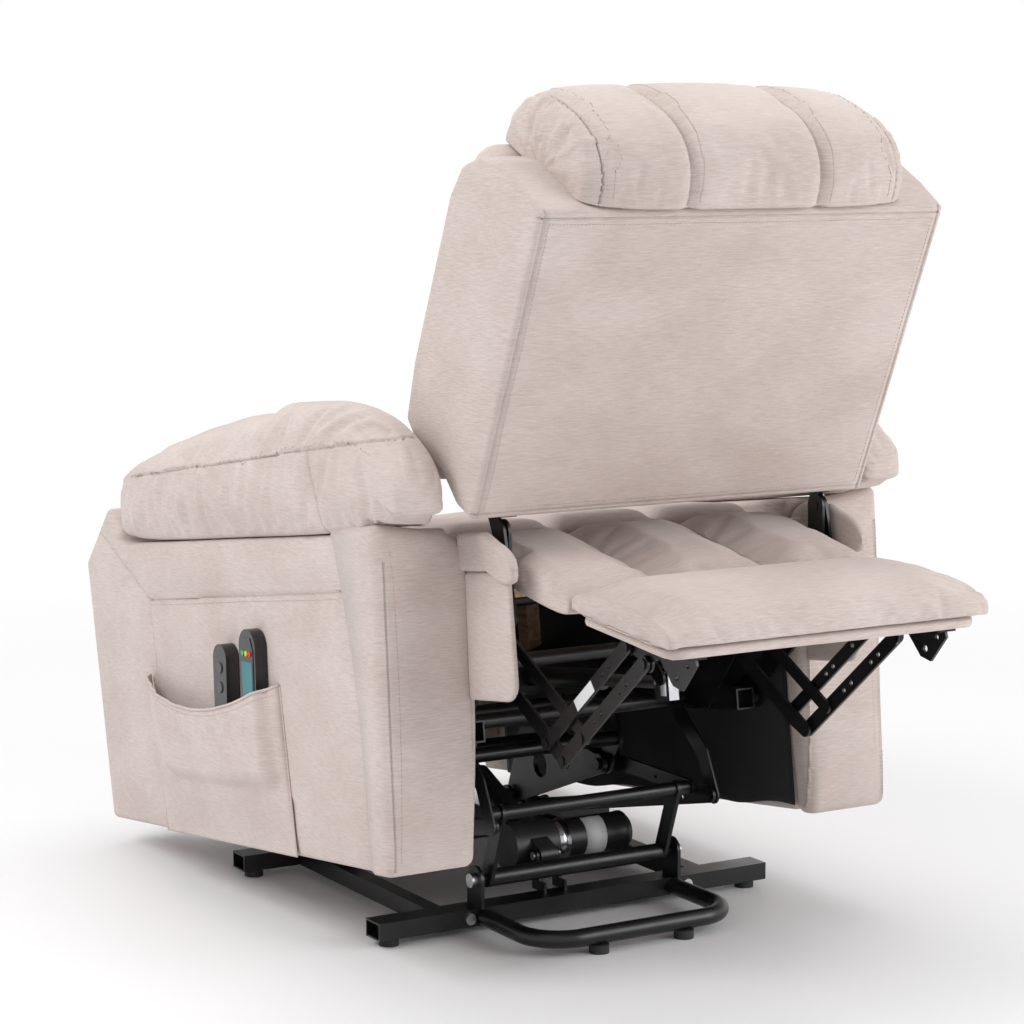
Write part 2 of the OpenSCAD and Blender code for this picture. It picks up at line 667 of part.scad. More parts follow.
// A flap hangs outside the recline levers, on a lug of each hinge post. The wing above it lies level
// with the calf pad, and a narrow flap on the inside of the post carries that pad's corner.
module seat_side_flaps() color(fabric) in_seat() both() {
    translate([0, -45, 0]) rotate([90, 0, 0]) linear_extrude(18) {
        translate([front_flap_x - 36, 236]) square([36, 143]);
        translate([front_flap_x - 20, 220]) square([20, 159]);
        translate([front_flap_x - 20, 236]) circle(r = 16);
    }
    slab(flap_x, flap_x + 9) {
        polygon([[-56, flap_low], [-152, flap_low], [-152 - flap_corner, flap_low + flap_corner],
            [-180, 376], [-67, 376]]);
        at([-152, flap_low + flap_corner]) circle(r = flap_corner);
    }
    slab(flap_x, flap_x + 15) difference() {
        strip([[-186, 385], [back_pivot[0], 411], [-60, 412]], 50);
        at([wing_edge, 340]) square([60, 120]);
    }
}

// ---------------------------------------------------------------- calf pad and leg rest
module calf_pad() color(fabric)
    loft([for (s = stations(22)) let (x = s*calf_half_w, f = round_end(s, 6))
        [for (p = section(22, 138, 26, 16, 3.4))
            let (q = turn([p[0], p[1]*(0.45 + 0.55*f)*(1 - 0.42*dents(x, [-90, 90], 12)*(p[1] > 0 ? 1 : 0))], 9))
            [x, -321 + q[0], 539.6 + q[1]]]]);

module leg_rest_board() color(fabric) in_leg() difference() {
    block([-leg_half_w + 6, -leg_out + 4, -50], [leg_half_w - 6, -leg_in - 2, -50 + leg_board_t]);
    for (x = [-lower_x, lower_x], y = [-150, -270]) translate([x, y, -51]) cylinder(d = 7, h = 12);
}

module leg_rest_pad() color(fabric) in_leg() {
    ym = -(leg_out + leg_in)/2;
    half = (leg_out - leg_in)/2;
    z0 = -50 + leg_board_t;
    loft([for (s = stations(24)) let (x = s*(leg_half_w + 4), f = round_end(s, 7))
        [for (p = section(24, half + 3, 24, 12, 3.2))
            [x, ym + p[0]*(0.94 + 0.06*f), max(z0 + 0.2, z0 + 12 + p[1]*(0.35 + 0.65*f))]]]);
}

leg_pin_local = chair_to_leg(seat_to_chair(leg_pin));
leg_pin2_local = chair_to_leg(seat_to_chair(leg_pin + bar_step));
module leg_rest_brackets() color(steel) in_leg() both() {
    plate(lower_x, mech_t) difference() {
        union() {
            polygon([[-135, -53], [-300, -53], [-303, -60], [-276, -98], [-256, -96], [-225, -70],
                [-197, -84], [-150, -76]]);
            at(leg_pin_local) circle(d = 24);
            at(leg_pin2_local) circle(d = 24);
        }
        hole([-264, -84], 9);
        hole([-285, -64], 7);
    }
    block([lower_x - 14, -302, -53], [lower_x + 14, -133, -50]);
    for (p = [leg_pin_local, leg_pin2_local]) {
        rod_x(p, lower_x, upper_x + mech_t/2 + 0.5, 9);
        rod_x(p, upper_x + mech_t/2 + 0.2, upper_x + mech_t/2 + 2.2, 14);
    }
}

module ottoman_lower_links() color(steel) in_seat() {
    inner_elbow = elbow + bar_step;
    both() {
        plate(lower_x, mech_t) {
            bar(torque_pivot, elbow, link_w - 2);
            bar(elbow, inner_elbow, link_w);
            bar(torque_pivot, inner_elbow, link_w - 4);
        }
        for (p = [elbow, inner_elbow]) {
            rod_x(p, lower_x, upper_x + mech_t/2 + 0.5, 9);
            rod_x(p, upper_x + mech_t/2 + 0.2, upper_x + mech_t/2 + 2.2, 14);
        }
    }
    rod_x(torque_pivot, -lower_x, lower_x, 20);
    both() rod_x(torque_pivot, lower_x, side_plate_x + mech_t/2, 16);
    for (s = [-1, 1]) plate(leg_lever_x + s*12, 4) bar(torque_pivot, leg_tip, 22);
    rod_x(leg_tip, leg_lever_x - 14, leg_lever_x + 14, 10);
}

leg_pin_gap = 0.25;                 // play of the leg rest's pins in the bars
// A bar with its two pivots and a row of spare holes
module leg_bar(from, w) difference() {
    bar(from, from + leg_pin - elbow, w);
    hole(from, 9 + 2*fit_gap);
    hole(from + leg_pin - elbow, 9 + 2*leg_pin_gap);
    for (t = [0.42, 0.5, 0.72, 0.8]) hole(from + t*(leg_pin - elbow), 7);
}
module ottoman_upper_bars() color(steel) in_seat() both()
    plate(upper_x, mech_t) difference() {
        leg_bar(elbow, 21);
        hole(elbow + guide_step, 9 + 2*fit_gap);
    }
module ottoman_inner_bars() color(steel) in_seat() both()
    plate(upper_x, mech_t) leg_bar(elbow + bar_step, 19);

module ottoman_guide_bars() color(steel) in_seat() both() {
    a = torque_pivot + guide_step;
    b = elbow + guide_step;
    plate(lower_x, mech_t) bar(a, b, 18);
    rod_x(a, lower_x, side_plate_x + mech_t/2, 10);
    rod_x(b, lower_x, upper_x + mech_t/2 + 0.5, 9);
    rod_x(b, upper_x + mech_t/2 + 0.2, upper_x + mech_t/2 + 2.2, 14);
}

// ---------------------------------------------------------------- drives under the seat
leg_drive_z = leg_tip[1] - 8;
module drive_housing(x, y0, z, away) {
    difference() {
        union() {
            translate([x, y0, z]) rotate([-90, 0, 0]) cylinder(d = 30, h = 200);
            translate([x, y0 + 200, z]) rotate([-90, 0, 0]) cylinder(d = 56, h = 60);
            translate([x, y0 + 230, z]) rotate([0, away*90, 0]) cylinder(d = 44, h = 110);
        }
        translate([x, y0 - 1, z]) rotate([-90, 0, 0]) cylinder(d = 18.6, h = 180);
    }
}
leg_drive_y = 150;
module leg_rest_actuator() color(black_plastic) in_seat() {
    drive_housing(leg_lever_x, leg_drive_y, leg_drive_z, 1);
    block([leg_lever_x - 10, leg_drive_y + 255, leg_drive_z - 10], [leg_lever_x + 10, far_cross[0] + 12, leg_drive_z + 8]);
    block([leg_lever_x - 10, far_cross[0] - 12, rail_z + 26.5], [leg_lever_x + 10, far_cross[0] + 12, leg_drive_z - 10]);
}

module leg_rest_drive_rod() color(bare_metal) in_seat() {
    translate([leg_lever_x, leg_tip[0] + 20, leg_drive_z]) rotate([-90, 0, 0]) cylinder(d = 18, h = 170);
    slab(leg_lever_x - 8, leg_lever_x + 8) difference() {
        at([leg_tip[0] - 14, leg_tip[1] - 32]) square([36, 46]);
        at([leg_tip[0] - 7.4, leg_tip[1] - 26]) square([14.8, 34]);
    }
}

recline_x = -70;
recline_drive_y = 300;
recline_drive_z = 300;
module recline_actuator() color(black_plastic) in_seat() {
    drive_housing(recline_x, recline_drive_y, recline_drive_z, -1);
    block([recline_x - 10, recline_drive_y + 255, recline_drive_z - 10], [recline_x + 10, end_cross[0] + 8, recline_drive_z + 8]);
    block([recline_x - 10, end_cross[0] - 12, rail_z + 26.5], [recline_x + 10, end_cross[0] + 8, recline_drive_z - 10]);
}

module recline_push_frame() color(steel) in_seat() {
    z = lever_tip[1] + 3;
    both()
        plate(push_x, mech_t) difference() {
            at([lever_tip[0] - 14, z - 17]) square([recline_tube_y - lever_tip[0] + 26, 34]);
            at([lever_tip[0] - 5.6, z - 10.5]) square([11.2, 21]);
        }
    rod_x([recline_tube_y, z], -push_x, push_x, 18);
    slab(recline_x - 8, recline_x + 8) strip([[recline_tube_y, z], [recline_tube_y + 14, recline_drive_z]], 18);
    translate([recline_x, recline_tube_y + 14, recline_drive_z]) rotate([-90, 0, 0]) cylinder(d = 18, h = 190);
}

module control_box() color(black_plastic) in_seat()
    difference() {
        union() {
            block([90, 560, rail_z + 30], [170, 700, rail_z + 72]);
            block([110, 628, rail_z + 26], [150, 652, rail_z + 30]);
        }
        for (i = [0:2]) translate([104 + 22*i, 555, rail_z + 46]) cube([14, 14, 14]);
    }

// ---------------------------------------------------------------- backrest
roll_n = 116;
roll_up = 93;
module back_shell() color(fabric) in_back() difference() {
    slab(-back_half_w, back_half_w)
        polygon([[0, 0], [back_shell_t, 0], [back_shell_t, back_h + 4], [0, back_h]]);
    slab(-back_half_w + 34, back_half_w - 34)
        polygon([[14, 30], [back_shell_t + 1, 30], [back_shell_t + 1, back_h - 40], [14, back_h - 40]]);
}

module back_cushions() color(fabric) in_back() {
    n0 = back_shell_t + 0.4;
    loft([for (s = stations(26)) let (x = s*(back_half_w - 1), f = round_end(s, 6), mid_s = 207)
        [for (p = section(24, 250, back_t - n0, 0.1, 3.4))
            let (pinch = 1 - 0.3*dents(x, [-100, 100], 16), low = p[0] < 0 ? 1 : 0.9)
            [x, n0 + max(0, p[1])*pinch*(0.42 + 0.58*f)*(1 + 0.10*(p[0] < 0 ? 1 : 0)*sin(180*abs(p[0])/250)),
                mid_s + p[0]*low]]]);
}

module head_roll() color(fabric) in_back() {
    loft([for (s = stations(26)) let (x = s*head_half_w, f = round_end(s, 4.5),
            pinch = 1 - 0.06*dents(x, [-100, 100], 9))
        [for (p = section(26, 124, roll_up*pinch, 50, 2.4))
            let (k = 0.52 + 0.48*f) [x, roll_n + p[0]*k*pinch, max(back_h + 4.6, back_h + 4.6 + p[1]*k)]]]);
}

module back_brackets() color(steel) {
    in_back() both() block([lever_x - 20, 8, -3], [lever_x + 6, 90, 0]);
    in_seat() both() {
        low = chair_to_seat(back_foot + turn([26, -3], back_lean));
        high = chair_to_seat(back_foot + turn([62, -3], back_lean));
        difference() {
            plate(lever_x, mech_t) difference() {
                union() {
                    bar(back_pivot, lever_tip, 30);
                    polygon([back_pivot + [-15, 0], low, high, back_pivot + [15, 0]]);
                }
            }
            in_back_from_seat() block([lever_x - 20, -100, -3], [lever_x + 20, 200, 100]);
        }
        rod_x(back_pivot, post_x - mech_t/2 - 1, lever_x, pin_d);
        rod_x(lever_tip, lever_x, push_x + 4, 9);
    }
}
module in_back_from_seat() rotate([seat_tilt, 0, 0]) translate([0, -chassis_y, -chassis_z]) in_back() children();

// ---------------------------------------------------------------- handsets
// Each handset leans back a little and stands on the floor of the pocket
wand_w = 44;
remote_w = 52;
wand_lean = 6;
remote_lean = 4;
handset_x = -arm_outer_x - 14;
key_room = key_travel + 0.2;
function handset_top(l, w, lean) = pocket_floor + 0.1 + 0.45*w + (l - 0.45*w)*cos(lean);
module in_wand() in_seat() translate([handset_x, 389, handset_top(wand_len, wand_w, wand_lean)])
    rotate([wand_lean, 0, 0]) children();
module in_remote() in_seat() translate([handset_x, 298, handset_top(remote_len, remote_w, remote_lean)])
    rotate([remote_lean, 0, 0]) children();
module pill(w, l, t) slab(-t/2, t/2) {
    at([0, -w/2]) circle(d = w);
    at([0, -l + w*0.45]) circle(d = w*0.9);
    polygon([[-w/2, -w/2], [-w*0.45, -l + w*0.45], [w*0.45, -l + w*0.45], [w/2, -w/2]]);
}
module wand_handset() color(black_plastic) in_wand() difference() {
    pill(wand_w, wand_len, 20);
    for (z = [-34, -62]) rod_x([0, z], -12, -8.6 + key_room, 16.8);
}
module wand_key(z) color([0.2, 0.2, 0.22]) in_wand() rod_x([0, z], -11.6, -8.6, 16);
module wand_up_key() wand_key(-34);
module wand_down_key() wand_key(-62);
module massage_handset() color(black_plastic) in_remote() difference() {
    union() {
        pill(remote_w, remote_len, 18);
        slab(-10, -9) polygon([[-20, -30], [-18, -150], [18, -150], [20, -30], [12, -12], [-12, -12]]);
    }
    for (y = [-11, 0, 11]) rod_x([y, -34], -11, -8.4 + key_room, 8.8);
}
module remote_key(y, c) color(c) in_remote() rod_x([y, -34], -11.2, -8.4, 8);
module massage_power_key() remote_key(-11, [0.8, 0.1, 0.12]);
module massage_mode_key() remote_key(0, [0.9, 0.75, 0.1]);
module massage_heat_key() remote_key(11, [0.2, 0.65, 0.25]);

// ---------------------------------------------------------------- nodes
// The chair is drawn about its own mid plane and then set so that the middle of its box is at the origin
shift_x = (arm_outer_x + pocket_gap + pocket_wall - pad_outer_x)/2;
near_end = leg_pivot[0] + turn([-leg_out - 3, -50 + leg_board_t], leg_slope)[0];
far_end = seat_to_chair([arm_len + arm_flare, arm_far_z])[0];
module placed() translate([shift_x, -(near_end + far_end)/2, 0]) children();
placed() base_cross_tubes();
placed() base_rails();
placed() floor_loop();
placed() base_brackets();
placed() base_feet();
placed() base_bolts();
placed() motor_mount();
placed() lift_arm_plates();
placed() lift_torque_tube();
placed() near_crank();
placed() tie_links();
placed() guide_links();
placed() lift_gearbox();
placed() lift_motor();
placed() spindle_tube();
placed() lift_rod();
placed() chassis_rails();
placed() chassis_side_plates();
placed() chassis_cross_tubes();
placed() link_hangers();
placed() arm_mount_brackets();
placed() back_hinge_posts();
placed() seat_frame();
placed() seat_springs();
placed() seat_cushion();
placed() front_apron();
placed() arm_left_cover();
placed() arm_right_cover();
placed() arm_frames();
placed() arm_left_pad();
placed() arm_right_pad();
placed() arm_left_end_panel();
placed() arm_right_end_panel();
placed() arm_linings();
placed() side_pocket();
placed() seat_side_flaps();
placed() calf_pad();
placed() leg_rest_actuator();
placed() recline_actuator();
placed() control_box();
placed() back_shell();
placed() back_cushions();
placed() head_roll();
placed() back_brackets();
placed() leg_rest_board();
placed() leg_rest_pad();
placed() leg_rest_brackets();
placed() ottoman_lower_links();
placed() ottoman_upper_bars();
placed() ottoman_inner_bars();
placed() ottoman_guide_bars();
placed() leg_rest_drive_rod();
placed() recline_push_frame();
placed() wand_handset();
placed() massage_handset();
placed() wand_up_key();
placed() wand_down_key();
placed() massage_power_key();
placed() massage_mode_key();
placed() massage_heat_key();
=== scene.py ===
import json
from math import cos, exp, hypot, pi, radians, sin, sqrt

import bmesh
import bpy
from mathutils import Matrix, Vector, noise


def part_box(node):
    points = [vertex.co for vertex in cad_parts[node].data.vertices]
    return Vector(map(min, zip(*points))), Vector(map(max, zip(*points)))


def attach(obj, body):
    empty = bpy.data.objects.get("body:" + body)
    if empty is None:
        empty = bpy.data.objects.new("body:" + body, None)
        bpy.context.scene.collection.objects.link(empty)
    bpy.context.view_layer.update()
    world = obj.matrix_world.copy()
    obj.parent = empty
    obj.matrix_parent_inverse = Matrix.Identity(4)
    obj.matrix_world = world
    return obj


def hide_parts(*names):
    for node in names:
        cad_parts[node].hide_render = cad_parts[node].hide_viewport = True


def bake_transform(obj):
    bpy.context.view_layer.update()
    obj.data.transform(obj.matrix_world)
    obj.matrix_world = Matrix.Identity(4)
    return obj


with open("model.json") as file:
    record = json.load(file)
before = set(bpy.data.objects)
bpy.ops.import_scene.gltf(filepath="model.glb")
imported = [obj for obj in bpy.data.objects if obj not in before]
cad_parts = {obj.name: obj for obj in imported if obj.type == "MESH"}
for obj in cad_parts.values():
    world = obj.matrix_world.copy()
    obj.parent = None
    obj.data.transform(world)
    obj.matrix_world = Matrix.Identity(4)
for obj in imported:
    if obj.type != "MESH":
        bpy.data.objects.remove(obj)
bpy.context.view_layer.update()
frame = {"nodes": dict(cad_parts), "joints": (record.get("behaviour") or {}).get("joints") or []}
scene = bpy.context.scene
scene.view_settings.view_transform = "Standard"

# ---------------------------------------------------------------- camera, floor and light
# The chair stands in a white studio. The camera is at chest height, four metres off, and looks past
# the pocket arm at the outside of the back; a large soft lamp hangs to the left of it.
camera_data = bpy.data.cameras.new("camera")
camera_data.lens = 98.97
camera_data.sensor_width = 36.0
camera = bpy.data.objects.new("camera", camera_data)
camera.location = (-2.0767, -3.4361, 1.1074)
camera.rotation_euler = (radians(90 - 7.614), 0, radians(-30.81))
scene.collection.objects.link(camera)
scene.camera = camera


def srgb(red, green, blue):
    """A colour of 0 to 255 a channel, as the shader wants it."""
    return tuple(c / 255 / 12.92 if c <= 10 else ((c / 255 + 0.055) / 1.055) ** 2.4
                 for c in (red, green, blue))


def new_material(name, colour, roughness, **sockets):
    """A painted, moulded or woven finish, and the tree and shader to add its pattern to."""
    material = bpy.data.materials.new(name)
    material.use_nodes = True
    tree = material.node_tree
    shader = tree.nodes["Principled BSDF"]
    shader.inputs["Base Color"].default_value = (*colour, 1)
    shader.inputs["Roughness"].default_value = roughness
    for socket, value in sockets.items():
        shader.inputs[socket.replace("_", " ")].default_value = value
    return material, tree, shader


def math_node(tree, operation, first, second):
    """Joins two values, each a socket or a number."""
    node = tree.nodes.new("ShaderNodeMath")
    node.operation = operation
    for place, value in enumerate((first, second)):
        if isinstance(value, (int, float)):
            node.inputs[place].default_value = value
        else:
            tree.links.new(value, node.inputs[place])
    return node.outputs[0]


studio_floor = bpy.data.meshes.new("studio_floor")
floor_bm = bmesh.new()
bmesh.ops.create_grid(floor_bm, x_segments=8, y_segments=8, size=30)
floor_bm.to_mesh(studio_floor)
floor_bm.free()
floor = bpy.data.objects.new("studio_floor", studio_floor)
scene.collection.objects.link(floor)
floor_paint, tree, shader = new_material("floor_paint", (0.87, 0.87, 0.88), 0.55, Specular_IOR_Level=0.2)
coordinates = tree.nodes.new("ShaderNodeTexCoord")
distance = tree.nodes.new("ShaderNodeVectorMath")
distance.operation = "LENGTH"
tree.links.new(coordinates.outputs["Object"], distance.inputs[0])
fade = tree.nodes.new("ShaderNodeMapRange")
fade.interpolation_type = "SMOOTHSTEP"
fade.inputs["From Min"].default_value = 0.8
fade.inputs["From Max"].default_value = 3.2
tree.links.new(distance.outputs["Value"], fade.inputs["Value"])
ray = tree.nodes.new("ShaderNodeLightPath")
seen = math_node(tree, "MAXIMUM", ray.outputs["Is Camera Ray"], ray.outputs["Is Glossy Ray"])
white = tree.nodes.new("ShaderNodeEmission")
mix = tree.nodes.new("ShaderNodeMixShader")
tree.links.new(math_node(tree, "MULTIPLY", fade.outputs[0], seen), mix.inputs["Fac"])
tree.links.new(shader.outputs[0], mix.inputs[1])
tree.links.new(white.outputs[0], mix.inputs[2])
tree.links.new(mix.outputs[0], tree.nodes["Material Output"].inputs["Surface"])
studio_floor.materials.append(floor_paint)

world = bpy.data.worlds.new("studio")
scene.world = world
world.use_nodes = True
tree = world.node_tree
lit = tree.nodes["Background"]
lit.inputs["Color"].default_value = (1.0, 1.0, 1.0, 1)
lit.inputs["Strength"].default_value = 0.62
backdrop = tree.nodes.new("ShaderNodeBackground")
backdrop.inputs["Color"].default_value = (1, 1, 1, 1)
backdrop.inputs["Strength"].default_value = 1.0
ray = tree.nodes.new("ShaderNodeLightPath")
seen = math_node(tree, "MAXIMUM", ray.outputs["Is Camera Ray"], ray.outputs["Is Transmission Ray"])
mix = tree.nodes.new("ShaderNodeMixShader")
tree.links.new(math_node(tree, "MAXIMUM", seen, ray.outputs["Is Glossy Ray"]), mix.inputs["Fac"])
tree.links.new(lit.outputs[0], mix.inputs[1])
tree.links.new(backdrop.outputs[0], mix.inputs[2])
tree.links.new(mix.outputs[0], tree.nodes["World Output"].inputs["Surface"])

chair_middle = Vector((0, 0, 0.6))
for name, place, size, power in (
    ("key_lamp", (-3.2, 0.2, 3.3), 2.2, 84),
    ("top_lamp", (0.6, 0.8, 3.8), 2.6, 45),
    ("front_lamp", (2.3, -2.9, 1.5), 2.2, 62),
):
    lamp_data = bpy.data.lights.new(name, "AREA")
    lamp_data.size = size
    lamp_data.energy = power
    lamp = bpy.data.objects.new(name, lamp_data)
    lamp.location = place
    lamp.rotation_euler = (Vector(place) - chair_middle).to_track_quat("Z", "Y").to_euler()
    scene.collection.objects.link(lamp)

# ---------------------------------------------------------------- welded steel
# Base, lift linkage, chassis and leg rest linkage are cut plate and tube, welded or riveted and dipped
# in satin black powder coat. The coat has a fine grain, dust on it and a few rubbed places.
def noise_pattern(tree, scale, stretch=(1, 1, 1), detail=3.0, turn=(0, 0, 0)):
    """Cloudy values of 0 to 1 on the piece's own coordinates."""
    coordinates = tree.nodes.new("ShaderNodeTexCoord")
    mapping = tree.nodes.new("ShaderNodeMapping")
    mapping.inputs["Scale"].default_value = stretch
    mapping.inputs["Rotation"].default_value = turn
    pattern = tree.nodes.new("ShaderNodeTexNoise")
    pattern.inputs["Scale"].default_value = scale
    pattern.inputs["Detail"].default_value = detail
    tree.links.new(coordinates.outputs["Object"], mapping.inputs["Vector"])
    tree.links.new(mapping.outputs[0], pattern.inputs["Vector"])
    return pattern.outputs["Fac"]


def ramp(tree, value, low, high, first, last):
    """Turns a pattern into a run from the first colour to the last."""
    run = tree.nodes.new("ShaderNodeValToRGB")
    run.color_ramp.elements[0].position = low
    run.color_ramp.elements[1].position = high
    run.color_ramp.elements[0].color = (*first, 1)
    run.color_ramp.elements[1].color = (*last, 1)
    tree.links.new(value, run.inputs["Fac"])
    return run.outputs["Color"]


def blend_colours(tree, share, first, second, how="MIX"):
    """Mixes two colour sockets; share is a socket or a number."""
    node = tree.nodes.new("ShaderNodeMix")
    node.data_type = "RGBA"
    node.blend_type = how
    if isinstance(share, (int, float)):
        node.inputs["Factor"].default_value = share
    else:
        tree.links.new(share, node.inputs["Factor"])
    for place, colour in ((6, first), (7, second)):
        if isinstance(colour, tuple):
            node.inputs[place].default_value = (*colour, 1)
        else:
            tree.links.new(colour, node.inputs[place])
    return node.outputs[2]


def raise_grain(tree, shader, height, depth):
    """Raises the surface by a pattern, by up to depth metres."""
    bump = tree.nodes.new("ShaderNodeBump")
    bump.inputs["Strength"].default_value = 1.0
    bump.inputs["Distance"].default_value = depth
    tree.links.new(height, bump.inputs["Height"])
    tree.links.new(bump.outputs[0], shader.inputs["Normal"])


def coated_metal(name, low, high, roughness, grain=900, depth=0.00006, **sockets):
    """Paint or plating whose tone and gloss vary a little from place to place."""
    material, tree, shader = new_material(name, low, roughness, **sockets)
    patches = noise_pattern(tree, 9, detail=5)
    tree.links.new(ramp(tree, patches, 0.35, 0.75, low, high), shader.inputs["Base Color"])
    gloss = tree.nodes.new("ShaderNodeMapRange")
    gloss.inputs["To Min"].default_value = roughness - 0.08
    gloss.inputs["To Max"].default_value = roughness + 0.12
    tree.links.new(noise_pattern(tree, 24, detail=6), gloss.inputs["Value"])
    tree.links.new(gloss.outputs[0], shader.inputs["Roughness"])
    raise_grain(tree, shader, noise_pattern(tree, grain, detail=2), depth)
    return material


def finish_nodes(material, *names):
    """Gives built parts their finish."""
    for name in names:
        mesh = frame["nodes"][name].data
        mesh.materials.clear()
        mesh.materials.append(material)


powder_coat = coated_metal("powder_coat", (0.004, 0.004, 0.0045), (0.011, 0.011, 0.012), 0.30,
                           Specular_IOR_Level=0.42)
finish_nodes(powder_coat, "base_cross_tubes", "base_rails", "floor_loop", "base_brackets", "motor_mount",
             "lift_arm_plates", "lift_torque_tube", "near_crank", "tie_links", "guide_links",
             "chassis_rails", "chassis_side_plates", "chassis_cross_tubes", "link_hangers",
             "arm_mount_brackets", "back_hinge_posts", "back_brackets", "leg_rest_brackets",
             "ottoman_lower_links", "ottoman_upper_bars", "ottoman_inner_bars", "ottoman_guide_bars",
             "recline_push_frame")

# ---------------------------------------------------------------- feet, bolts and springs
# Moulded rubber feet carry the base. Pins, bolts and the screw drives' rods are zinc plated and the
# seat's springs are oiled wire.
rubber = coated_metal("foot_rubber", (0.012, 0.012, 0.012), (0.028, 0.027, 0.026), 0.72, grain=500,
                      depth=0.0001)
finish_nodes(rubber, "base_feet")
zinc_plate = coated_metal("zinc_plate", (0.42, 0.42, 0.44), (0.62, 0.62, 0.64), 0.34, grain=1400,
                          depth=0.00003, Metallic=1.0)
finish_nodes(zinc_plate, "base_bolts", "lift_rod", "leg_rest_drive_rod")
spring_wire = coated_metal("spring_wire", (0.10, 0.10, 0.11), (0.22, 0.21, 0.20), 0.36, Metallic=1.0)
finish_nodes(spring_wire, "seat_springs")

# ---------------------------------------------------------------- lift drive
# A motor lies across the base and turns the spindle through a cast gear housing. Both are painted; the
# motor has a polished collar, a bare white rating plate and small screws in its end.
gear_paint = coated_metal("gear_paint", (0.030, 0.030, 0.032), (0.060, 0.060, 0.064), 0.42, grain=420,
                          depth=0.00012, Metallic=0.3)
finish_nodes(gear_paint, "lift_gearbox")
black_moulding = coated_metal("black_moulding", (0.010, 0.010, 0.011), (0.022, 0.022, 0.024), 0.38,
                              grain=1600, depth=0.00004)
finish_nodes(black_moulding, "lift_motor", "spindle_tube", "leg_rest_actuator", "recline_actuator",
             "control_box")


def new_piece(bm, name, material, body, smooth=True):
    """Makes a mesh object of a bmesh that is in place, and lets it ride on a body."""
    mesh = bpy.data.meshes.new(name)
    bm.to_mesh(mesh)
    bm.free()
    mesh.polygons.foreach_set("use_smooth", [smooth] * len(mesh.polygons))
    mesh.materials.append(material)
    piece = bpy.data.objects.new(name, mesh)
    scene.collection.objects.link(piece)
    if body:
        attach(piece, body)
    return piece


def clean_up(bm):
    """Joins points that fell together and turns the faces outwards."""
    bmesh.ops.remove_doubles(bm, verts=bm.verts, dist=1e-6)
    bmesh.ops.recalc_face_normals(bm, faces=bm.faces)


def band_round_x(name, centre, radius, x0, x1, start, sweep, thickness, material, body):
    """A thin band bent round a cylinder that lies along X, from start over sweep degrees."""
    bm = bmesh.new()
    turn = Matrix.Rotation(radians(start), 3, "X")
    line = [bm.verts.new(Vector(centre) + turn @ Vector((0, radius, 0)) + Vector((x - centre[0], 0, 0)))
            for x in (x0, x1)]
    edge = bm.edges.new(line)
    full = abs(sweep) >= 360
    bmesh.ops.spin(bm, geom=[*line, edge], cent=centre, axis=(1, 0, 0), angle=radians(sweep), steps=48,
                   use_merge=full)
    clean_up(bm)
    outward = sum(f.normal.dot(f.calc_center_median() - Vector(centre)) for f in bm.faces)
    if outward < 0:
        bmesh.ops.reverse_faces(bm, faces=bm.faces)
    bmesh.ops.solidify(bm, geom=bm.faces, thickness=-thickness)
    return new_piece(bm, name, material, body)


motor_low, motor_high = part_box("lift_motor")
motor_radius = (motor_high.z - motor_low.z) / 2
motor_axis = ((motor_low.x + motor_high.x) / 2, (motor_low.y + motor_high.y) / 2,
              (motor_low.z + motor_high.z) / 2)
bare_label = coated_metal("bare_label", (0.70, 0.71, 0.72), (0.80, 0.81, 0.82), 0.45, grain=700,
                          depth=0.00002)
polished_ring = coated_metal("polished_ring", (0.50, 0.50, 0.52), (0.70, 0.70, 0.72), 0.22, Metallic=1.0)
left_end, right_end = motor_low.x, motor_high.x
for name, x0, x1, start, sweep, thickness, material, slot in (
    ("motor_label", left_end + 0.050, left_end + 0.084, 100, 130, 0.0003, bare_label, "black_plastic"),
    ("motor_collar", left_end + 0.001, left_end + 0.022, 0, 360, 0.0012, polished_ring, "bare_metal"),
    ("motor_end_ring", right_end - 0.012, right_end - 0.007, 0, 360, 0.0006, black_moulding, "black_plastic"),
):
    band_round_x(name, motor_axis, motor_radius + 0.0001, x0, x1, start, sweep, thickness, material,
                 "lift_drive")

# ---------------------------------------------------------------- timber
# The seat's frame and the boards inside the arms are planed softwood, stapled to the steel and left bare.
timber, tree, shader = new_material("timber", (0.60, 0.44, 0.27), 0.7)
grain = noise_pattern(tree, 6, stretch=(26, 1.2, 26), detail=8)
tree.links.new(ramp(tree, grain, 0.3, 0.72, (0.48, 0.32, 0.17), (0.72, 0.56, 0.37)),
               shader.inputs["Base Color"])
raise_grain(tree, shader, grain, 0.0004)
finish_nodes(timber, "seat_frame", "arm_frames")

# ---------------------------------------------------------------- upholstery cloth and its sewing
# Everything padded is foam on a board or frame under one chenille: pale beige with a pink cast, fine
# slubs that run across each panel, and patches where the pile lies another way. Seams are lockstitched.
joint = {row["name"]: row for row in frame["joints"]}
middle_x = joint["leg_rest_swing"]["pos_m"][0]


def local_frame(origin, degrees):
    """From a group's own coordinates to the chair's: turned about X, then moved."""
    return Matrix.Translation(origin) @ Matrix.Rotation(radians(degrees), 4, "X")


def place_in(group, bm):
    """Moves a form from its group's coordinates to the chair's."""
    bmesh.ops.transform(bm, matrix=group, verts=bm.verts)


